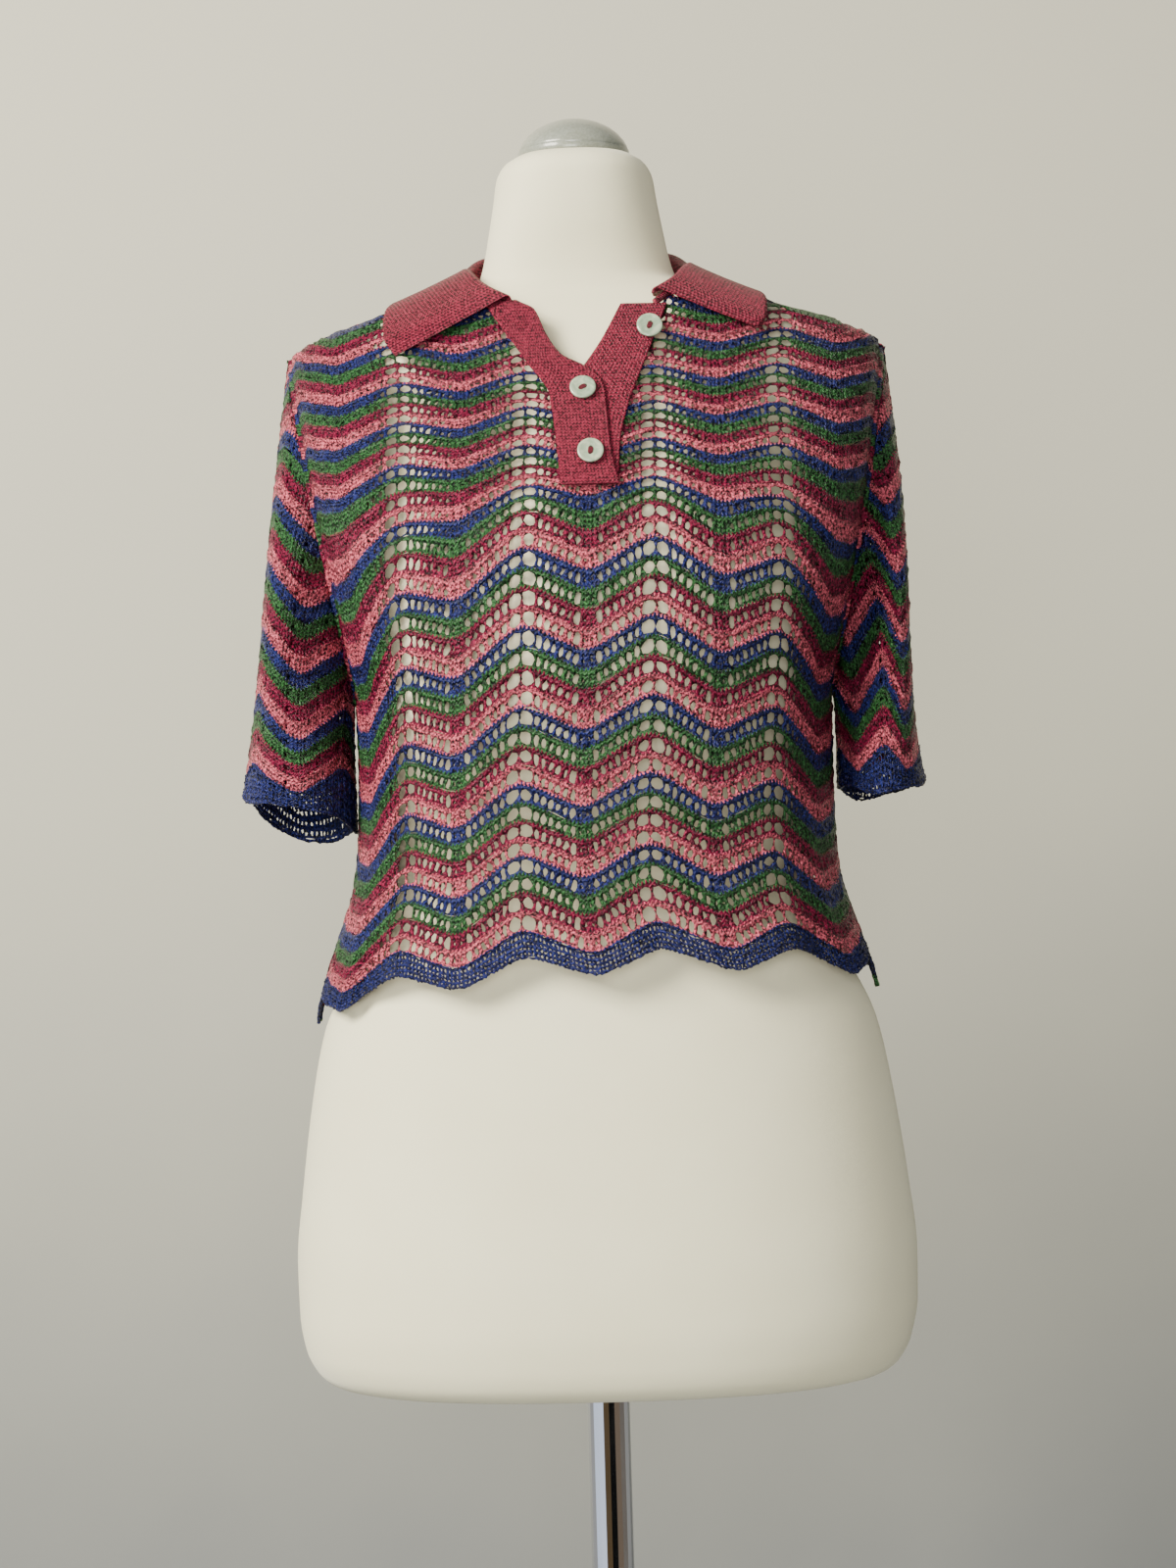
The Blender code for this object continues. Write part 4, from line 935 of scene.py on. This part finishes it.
def shellFinish():
    made, tree, shader = material("pearl_shell")
    cloud = noise(tree, objectPlace(tree), Scale=170.0, Detail=4.0, Distortion=1.2)
    tones = toneRamp(tree, cloud, ((0.3, (0.22, 0.32, 0.22)), (0.52, (0.34, 0.42, 0.30)),
                                   (0.72, (0.52, 0.55, 0.40))))
    setInputs(tree, shader, {"Base Color": tones, "Roughness": 0.18, "Coat Weight": 0.6,
                             "Coat Roughness": 0.06})
    return made


def closeEnds(mesh):
    bm = bmesh.new()
    bm.from_mesh(mesh)
    bmesh.ops.holes_fill(bm, edges=[edge for edge in bm.edges if edge.is_boundary])
    bmesh.ops.recalc_face_normals(bm, faces=bm.faces)
    bm.to_mesh(mesh)
    bm.free()


def tubeMesh(name, path, radius, sides=8, v=None):
    # a tube of mm radius along a path of points in mm; closed flat at its ends
    along = np.gradient(path, axis=0)
    along /= np.linalg.norm(along, axis=1)[:, None]
    side = np.cross(along, np.array((0.0, 0.0, 1.0)) + 1e-4)
    side /= np.linalg.norm(side, axis=1)[:, None]
    other = np.cross(side, along)
    turns = np.linspace(0, 2 * math.pi, sides, endpoint=False)
    radii = np.broadcast_to(radius, len(path))[:, None, None]
    points = path[:, None] + radii * (side[:, None] * np.cos(turns)[None, :, None]
                                      + other[:, None] * np.sin(turns)[None, :, None])
    v = np.arange(len(path))[:, None] / 2 if v is None else v
    mesh = gridMesh(name, points, np.arange(sides)[None, :] / sides, v, closed=True)
    closeEnds(mesh)
    return mesh


def turnedMesh(name, profile, y, steps):
    # a profile of (radius, z) in mm turned about the upright line at that y
    bm = bmesh.new()
    line = [bm.verts.new((r * mm, y * mm, h * mm)) for r, h in profile]
    edges = [bm.edges.new(pair) for pair in zip(line, line[1:])]
    bmesh.ops.spin(bm, geom=line + edges, cent=(0, y * mm, 0), axis=(0, 0, 1), angle=2 * math.pi,
                   steps=steps)
    bmesh.ops.remove_doubles(bm, verts=bm.verts, dist=weld)
    bmesh.ops.recalc_face_normals(bm, faces=bm.faces)
    return meshFrom(bm, name)


def makeButton(name, x, z, on, seat, turn):
    shape = buttonShape
    blank = newObject(name, turnedMesh(name, shape["profile"], 0, shape["steps"]))
    cutters = []
    for side in (-1, 1):
        hole = bmesh.new()
        bmesh.ops.create_cone(hole, cap_ends=True, segments=20, radius1=shape["hole"] * mm,
                              radius2=shape["hole"] * mm, depth=shape["drill"] * mm)
        bmesh.ops.translate(hole, verts=hole.verts, vec=(side * shape["spacing"] / 2 * mm, 0, 0))
        cutter = newObject(f"{name}_hole", meshFrom(hole, f"{name}_hole"))
        cut = blank.modifiers.new("hole", "BOOLEAN")
        cut.operation, cut.object = "DIFFERENCE", cutter
        cutters.append(cutter)
    cutDisc = bpy.data.meshes.new_from_object(blank.evaluated_get(bpy.context.evaluated_depsgraph_get()))
    for helper in (*cutters, blank):
        bpy.data.objects.remove(helper)
    reach = shape["reach"]
    y, above, below, right, left = (float(surfaceY(np.array(px), np.array(pz), "Front")) for px, pz in (
        (x, z), (x, z + reach), (x, z - reach), (x + reach, z), (x - reach, z)))
    normal = Vector((right - left, -2 * reach, above - below)).normalized()
    lift = bandShape["lift"][on] + shape["wall"] + seat
    place = (Matrix.Translation((Vector((x, y, z)) + normal * lift) * mm)
             @ normal.to_track_quat("Z", "Y").to_matrix().to_4x4()
             @ Matrix.Rotation(math.radians(turn), 4, "Z"))
    cutDisc.transform(place)
    disc = addPiece(f"{name}_disc", cutDisc, pearlShell)
    cutDisc.set_sharp_from_angle(angle=math.radians(shape["sharp"]))
    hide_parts(name)
    half, height = shape["spacing"] / 2 * shape["overreach"], shape["profile"][0][1]
    across = np.linspace(-1, 1, 15)
    arched = (height + shape["arch"] * np.cos(across * math.pi / 2)
              - shape["dip"] * np.clip(np.abs(across) - shape["dipFrom"], 0, 1))
    bm = bmesh.new()
    for i in range(shape["strands"]):
        shift = (i - (shape["strands"] - 1) / 2) * shape["thread"] * shape["gap"]
        path = np.stack([across * half, shift + 0 * across, arched], axis=1)
        bm.from_mesh(tubeMesh(f"{name}_strand", path, shape["thread"], 6))
    thread = meshFrom(bm, f"{name}_thread")
    thread.transform(place)
    addPiece(f"{name}_thread", thread, threadYarn)


pearlShell = shellFinish()
# the thread's colour carries milder painted shade and painted glints
threadYarn = plainYarn("sewing_thread", "pink", dict(ribLook, speckle=2500.0, paintedShade=0.7, paintedGlint=1.3))
for label, row in buttonShape["rows"].items():
    makeButton(label, *row)
print("buttons ready")

# Seams: tubes of gathered yarn along the edges where pieces meet
seamShape = dict(
    radius=2.6, sides=8, step=160, out=2.2, forward=1.4, gather=0.12, gathers=1.9,
    # the shoulder seam's middle and half width at the neck and at the sleeve, its y and its rise
    shoulder=dict(ends=((1.0, 70.0), (3.5, 181.0)), y=8.0, rise=0.6, radius=1.7, step=90),
    side=dict(left=1010.0, right=1022.0, top=1209.0, out=1.0, radius=1.5, step=120),
)


def seamPiece(name, path, radius):
    shape = seamShape
    knots = np.arange(-1.0, 50.0, 0.25)
    side = np.sign(path[len(path) // 2, 0]) * seam
    v = np.interp(path[:, 2], stripeHeight(side, knots), knots)
    radius = radius * (1 + shape["gather"] * np.sin(np.arange(len(path)) * shape["gathers"]))
    mesh = tubeMesh(name, path, radius, shape["sides"], v=v[:, None])
    addPiece(name, mesh, laceYarn)


def makeSeams():
    shape, shoulder, side = seamShape, seamShape["shoulder"], seamShape["side"]
    for cuff, label, sign in ((leftSleeve, "left", -1), (rightSleeve, "right", 1)):
        turn = np.linspace(0, 1, shape["step"])
        bulge = np.sin(math.pi * np.minimum(turn, 1 - turn) * 2) * shape["forward"]
        path = armhole(turn, sign)
        path[:, 0] += sign * shape["out"]
        path[:, 1] += np.where(turn < 0.5, -1, 1) * bulge
        seamPiece(f"{cuff['name']}_seam", path, shape["radius"])
        x = np.linspace(*(middle + sign * half for middle, half in shoulder["ends"]), shoulder["step"])
        path = np.stack([x, shoulder["y"] + 0 * x, ridgeHeight(x) + shoulder["rise"]], axis=1)
        seamPiece(f"{label}_shoulder_seam", path, shoulder["radius"])
        z = np.linspace(side[label], side["top"], side["step"])
        x = body(z, "middle") + sign * (body(z, "half") + side["out"])
        seamPiece(f"{label}_side_seam", np.stack([x, 0 * z, z], axis=1), side["radius"])


# x and z of the neckline that the collar leaves bare at each front end
neckSeam = dict(left=((-43.0, 1448.0), (-50.0, 1453.0), (-58.0, 1458.5), (-64.0, 1465.0)),
                right=((47.0, 1448.5), (54.0, 1454.0), (60.0, 1460.0), (65.0, 1466.0)), radius=2.2, out=3.4)


def makeNeckSeams():
    for side in ("left", "right"):
        known = np.array(neckSeam[side])
        at = np.linspace(0, len(known) - 1, 40)
        x, z = (np.interp(at, np.arange(len(known)), known[:, i]) for i in (0, 1))
        path = np.stack([x, surfaceY(x, z, "Front") - neckSeam["out"], z], axis=1)
        mesh = tubeMesh(f"{side}_neck_seam", path, neckSeam["radius"])
        addPiece(f"{side}_neck_seam", mesh, roseYarn)


makeSeams()
makeNeckSeams()
print("seams ready")

# The dress form: sections from the foot up
formShape = dict(
    columns=("z", "half", "middle", "front", "back"),
    rows=(
        (782, 166.0, 1.5, -94.0, 100.0), (785, 176.0, 1.5, -102.0, 109.0), (792, 184.0, 1.5, -109.0, 117.0),
        (805, 190.5, 1.5, -114.0, 122.5), (828, 194.5, 2.0, -118.0, 126.5), (860, 195.0, 2.0, -119.0, 127.0),
        (905, 190.5, 2.0, -117.0, 123.5), (965, 182.0, 1.8, -112.0, 116.0), (1005, 173.5, 1.8, -107.0, 108.0),
        (1055, 150.0, 1.8, -99.0, 96.0), (1110, 132.0, 2.0, -93.0, 85.0), (1165, 134.0, 2.0, -104.0, 84.0),
        (1215, 142.0, 2.0, -119.0, 90.0), (1270, 151.0, 2.0, -124.0, 96.0), (1325, 160.0, 2.0, -113.0, 98.0),
        (1375, 167.0, 2.0, -90.0, 93.0), (1405, 170.0, 2.4, -74.0, 84.0), (1424, 170.0, 2.8, -65.0, 80.0),
        (1434, 166.5, 3.2, -60.0, 77.0), (1441, 156.0, 3.2, -56.5, 73.5), (1448, 134.0, 2.8, -53.0, 70.0),
        (1456, 106.0, 1.8, -50.0, 64.0), (1464, 80.5, 0.8, -47.5, 57.0), (1472, 63.0, 0.3, -47.0, 53.0),
        (1485, 58.5, 0.0, -48.5, 49.5), (1500, 55.5, 0.0, -52.0, 46.0), (1522, 51.5, 0.0, -56.0, 42.0),
        (1535, 49.5, 0.0, -57.0, 38.5), (1543, 45.5, 0.0, -54.5, 34.0), (1548, 38.0, 0.0, -48.0, 27.0),
    ),
    around=128, power=2.4, closing=(0.0, 0.5, 0.9), stitch=8.0, course=1.1, sharp=60,
    # runs of rings: first height, last height and how many
    rings=((782, 806, 13), (811, 1420, 88), (1426, 1476, 26), (1480, 1530, 11), (1533, 1548, 9)),
)


def jerseyFinish():
    made, tree, shader = material("cream_jersey")
    weave = addNode(tree, "TexWave", {"Vector": knitPlace(tree), "Scale": 1.0, "Distortion": 1.5,
                                      "Detail": 2.0}).outputs["Fac"]
    where = objectPlace(tree)
    pills = noise(tree, where, Scale=240.0, Detail=5.0, Roughness=0.65)
    cloud = noise(tree, where, Scale=9.0, Detail=3.0)
    tones = toneRamp(tree, cloud, ((0.35, (0.87, 0.82, 0.57)), (0.65, (0.91, 0.87, 0.62))))
    addBump(tree, shader, mathNode(tree, "MULTIPLY_ADD", weave, 0.25, pills), Strength=0.25,
            Distance=0.0006)
    setInputs(tree, shader, {"Base Color": tones, "Roughness": 0.85, "Sheen Weight": 0.3})
    return made


def makeForm():
    shape = formShape
    form = tableReader(shape)
    z = np.concatenate([np.linspace(*run) for run in shape["rings"]])
    half, middle, front, back = (form(z, name) for name in shape["columns"][1:])
    turns = np.linspace(0, 2 * math.pi, shape["around"], endpoint=False)
    across, depth = np.cos(turns), np.sin(turns)
    power = 2 / shape["power"]
    x = middle[:, None] + half[:, None] * np.sign(across) * np.abs(across) ** power
    reach = np.where(depth > 0, back[:, None], -front[:, None])
    y = np.sign(depth) * np.abs(depth) ** power * reach
    rings = np.stack([x, y, z[:, None] + 0 * x], axis=-1)
    ends = []
    for ring in (rings[0], rings[-1]):
        centre = ring.mean(axis=0)
        ends.append([centre + (ring - centre) * max(share, 0.01) for share in shape["closing"]])
    points = np.concatenate([ends[0], rings, ends[1][::-1]])
    u = np.arange(shape["around"])[None, :] * shape["stitch"]
    v = points[:, :1, 2] / shape["course"]
    mesh = gridMesh("form_cover", points, u, v, closed=True)
    closeEnds(mesh)
    piece = addPiece("form_cover", mesh, jerseyFinish())
    mesh.set_sharp_from_angle(angle=math.radians(shape["sharp"]))
    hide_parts("form_torso")


makeForm()

# The neck cap: its profile as (radius, z)
capShape = dict(
    y=-10.5, steps=72, sharp=50,
    profile=((0.0, 1572.4), (6.0, 1572.1), (12.0, 1571.2), (18.0, 1569.2), (24.0, 1566.0), (28.5, 1562.4),
             (32.0, 1558.2), (33.6, 1555.2), (34.2, 1553.4), (33.9, 1552.9), (34.0, 1552.5),
             (34.9, 1552.2), (35.0, 1551.6), (35.0, 1549.4), (34.6, 1548.6), (33.8, 1548.4), (0.0, 1548.4)),
)


def capFinish():
    made, tree, shader = material("satin_cap")
    fine = noise(tree, objectPlace(tree), Scale=600.0, Detail=3.0)
    tones = toneRamp(tree, fine, ((0.35, (0.22, 0.235, 0.19)), (0.65, (0.28, 0.295, 0.25))))
    addBump(tree, shader, fine, Strength=0.08, Distance=0.0002)
    setInputs(tree, shader, {"Base Color": tones, "Roughness": 0.28, "Coat Weight": 0.4,
                             "Coat Roughness": 0.15})
    return made


def chromeFinish():
    made, tree, shader = material("polished_chrome")
    stretch = addNode(tree, "Mapping", {"Vector": objectPlace(tree), "Scale": (1.0, 1.0, 0.15)})
    wipes = noise(tree, stretch.outputs[0], Scale=220.0, Detail=4.0)
    haze = addNode(tree, "MapRange", {"Value": wipes, "To Min": 0.04, "To Max": 0.16})
    setInputs(tree, shader, {"Base Color": (0.82, 0.82, 0.83, 1), "Metallic": 1.0,
                             "Roughness": haze.outputs[0]})
    return made


def makeStand():
    mesh = turnedMesh("neck_cap_dome", capShape["profile"], capShape["y"], capShape["steps"])
    dome = addPiece("neck_cap_dome", mesh, capFinish())
    mesh.set_sharp_from_angle(angle=math.radians(capShape["sharp"]))
    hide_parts("neck_cap")
    chrome = chromeFinish()
    for node in ("pole", "stand_base"):
        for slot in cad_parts[node].material_slots:
            slot.material = chrome


makeStand()
print("form and stand ready")

# The room: a pale floor that sweeps up into the wall, and the wall's tones by height: painted shade, darker
# towards the floor
stageShape = dict(
    wall=0.80, radius=0.25, near=-1.5, top=2.9, half=2.4, floor=-0.001, plaster=0.06, rise=0.5,
    tones=((0.22, (0.235, 0.245, 0.245)), (0.60, (0.55, 0.54, 0.45)), (0.90, (0.62, 0.60, 0.49))),
)


def wallFinish():
    # plaster grain, with painted shade that makes the wall cooler and darker towards the floor
    made, tree, shader = material("pale_wall_painted_shade")
    where = objectPlace(tree)
    plaster = noise(tree, where, Scale=6.0, Detail=4.0)
    split = addNode(tree, "SeparateXYZ", {0: where})
    # painted shade: the colour darkens with falling height
    rise = mathNode(tree, "MULTIPLY", split.outputs["Z"], stageShape["rise"])
    height = mathNode(tree, "MULTIPLY_ADD", plaster, stageShape["plaster"], rise)
    setInputs(tree, shader, {"Base Color": toneRamp(tree, height, stageShape["tones"]), "Roughness": 0.9})
    # seen from behind, the wall lets the object show
    facing = addNode(tree, "NewGeometry", {}).outputs["Backfacing"]
    clear = addNode(tree, "BsdfTransparent", {})
    mix = addNode(tree, "MixShader", {0: facing, 1: shader.outputs[0], 2: clear.outputs[0]})
    tree.links.new(mix.outputs[0], tree.nodes["Material Output"].inputs["Surface"])
    return made


def makeStage():
    shape = stageShape
    turns = np.linspace(0, math.pi / 2, 13)
    bend = [(shape["wall"] - shape["radius"] + shape["radius"] * math.sin(t),
             shape["floor"] + shape["radius"] * (1 - math.cos(t))) for t in turns]
    line = [(shape["near"], shape["floor"]), *bend, (shape["wall"], shape["top"])]
    points = np.array([[(side * shape["half"], y, z) for side in (-1, 1)] for y, z in line]) / mm
    mesh = gridMesh("floor_and_wall", points, np.zeros((1, 2)), np.zeros((len(line), 1)))
    mesh.materials.append(wallFinish())
    mesh.shade_smooth()
    sweep = newObject("floor_and_wall", mesh)


# Lamps: place, aimed-at point, size in metres, power in watts, colour
lamps = dict(
    window=((-1.7, -1.5, 2.45), (0, 0, 1.35), 1.1, 165, (1.0, 0.95, 0.83)),
    fill=((-0.25, -2.5, 1.35), (0, 0, 1.15), 1.0, 36, (1.0, 0.98, 0.95)),
)
# The room as polished metal sees it, by direction round the object: 0.5 is the camera's side
roomBands = (
    (0.0, (0.30, 0.30, 0.29)), (0.206, (0.36, 0.36, 0.35)), (0.27, (0.80, 0.90, 1.10)),
    (0.385, (0.85, 0.95, 1.15)), (0.40, (0.07, 0.045, 0.02)), (0.50, (0.12, 0.08, 0.04)),
    (0.525, (0.004, 0.004, 0.004)), (0.565, (0.005, 0.005, 0.005)), (0.58, (0.20, 0.15, 0.10)),
    (0.645, (0.16, 0.12, 0.09)), (0.658, (1.3, 1.3, 1.25)), (0.682, (1.2, 1.2, 1.15)),
    (0.70, (0.14, 0.12, 0.10)), (0.79, (0.30, 0.30, 0.29)), (1.0, (0.30, 0.30, 0.29)),
)


def makeWorld():
    world = bpy.data.worlds.new("studio")
    world.use_nodes = True
    tree = world.node_tree
    plain = tree.nodes["Background"]
    setInputs(tree, plain, {"Color": (0.60, 0.60, 0.58, 1), "Strength": 0.55})
    split = addNode(tree, "SeparateXYZ", {0: addNode(tree, "TexCoord", {}).outputs["Generated"]})
    back = mathNode(tree, "MULTIPLY", split.outputs["Y"], -1.0)
    turn = mathNode(tree, "ARCTAN2", split.outputs["X"], back)
    share = mathNode(tree, "MULTIPLY_ADD", turn, 0.5 / math.pi, 0.5)
    room = addNode(tree, "Background", {"Color": toneRamp(tree, share, roomBands)})
    glossy = addNode(tree, "LightPath", {}).outputs["Is Glossy Ray"]
    mix = addNode(tree, "MixShader", {0: glossy, 1: plain.outputs[0], 2: room.outputs[0]})
    tree.links.new(mix.outputs[0], tree.nodes["World Output"].inputs["Surface"])
    bpy.context.scene.world = world


def makeLight():
    for name, (place, aim, size, power, colour) in lamps.items():
        data = bpy.data.lights.new(name, "AREA")
        data.size, data.energy, data.color = size, power, colour
        lamp = newObject(name, data)
        lamp.location = place
        lamp.rotation_euler = (Vector(aim) - Vector(place)).to_track_quat("-Z", "Y").to_euler()
    makeWorld()


makeStage()
makeLight()
print("stage and light ready")
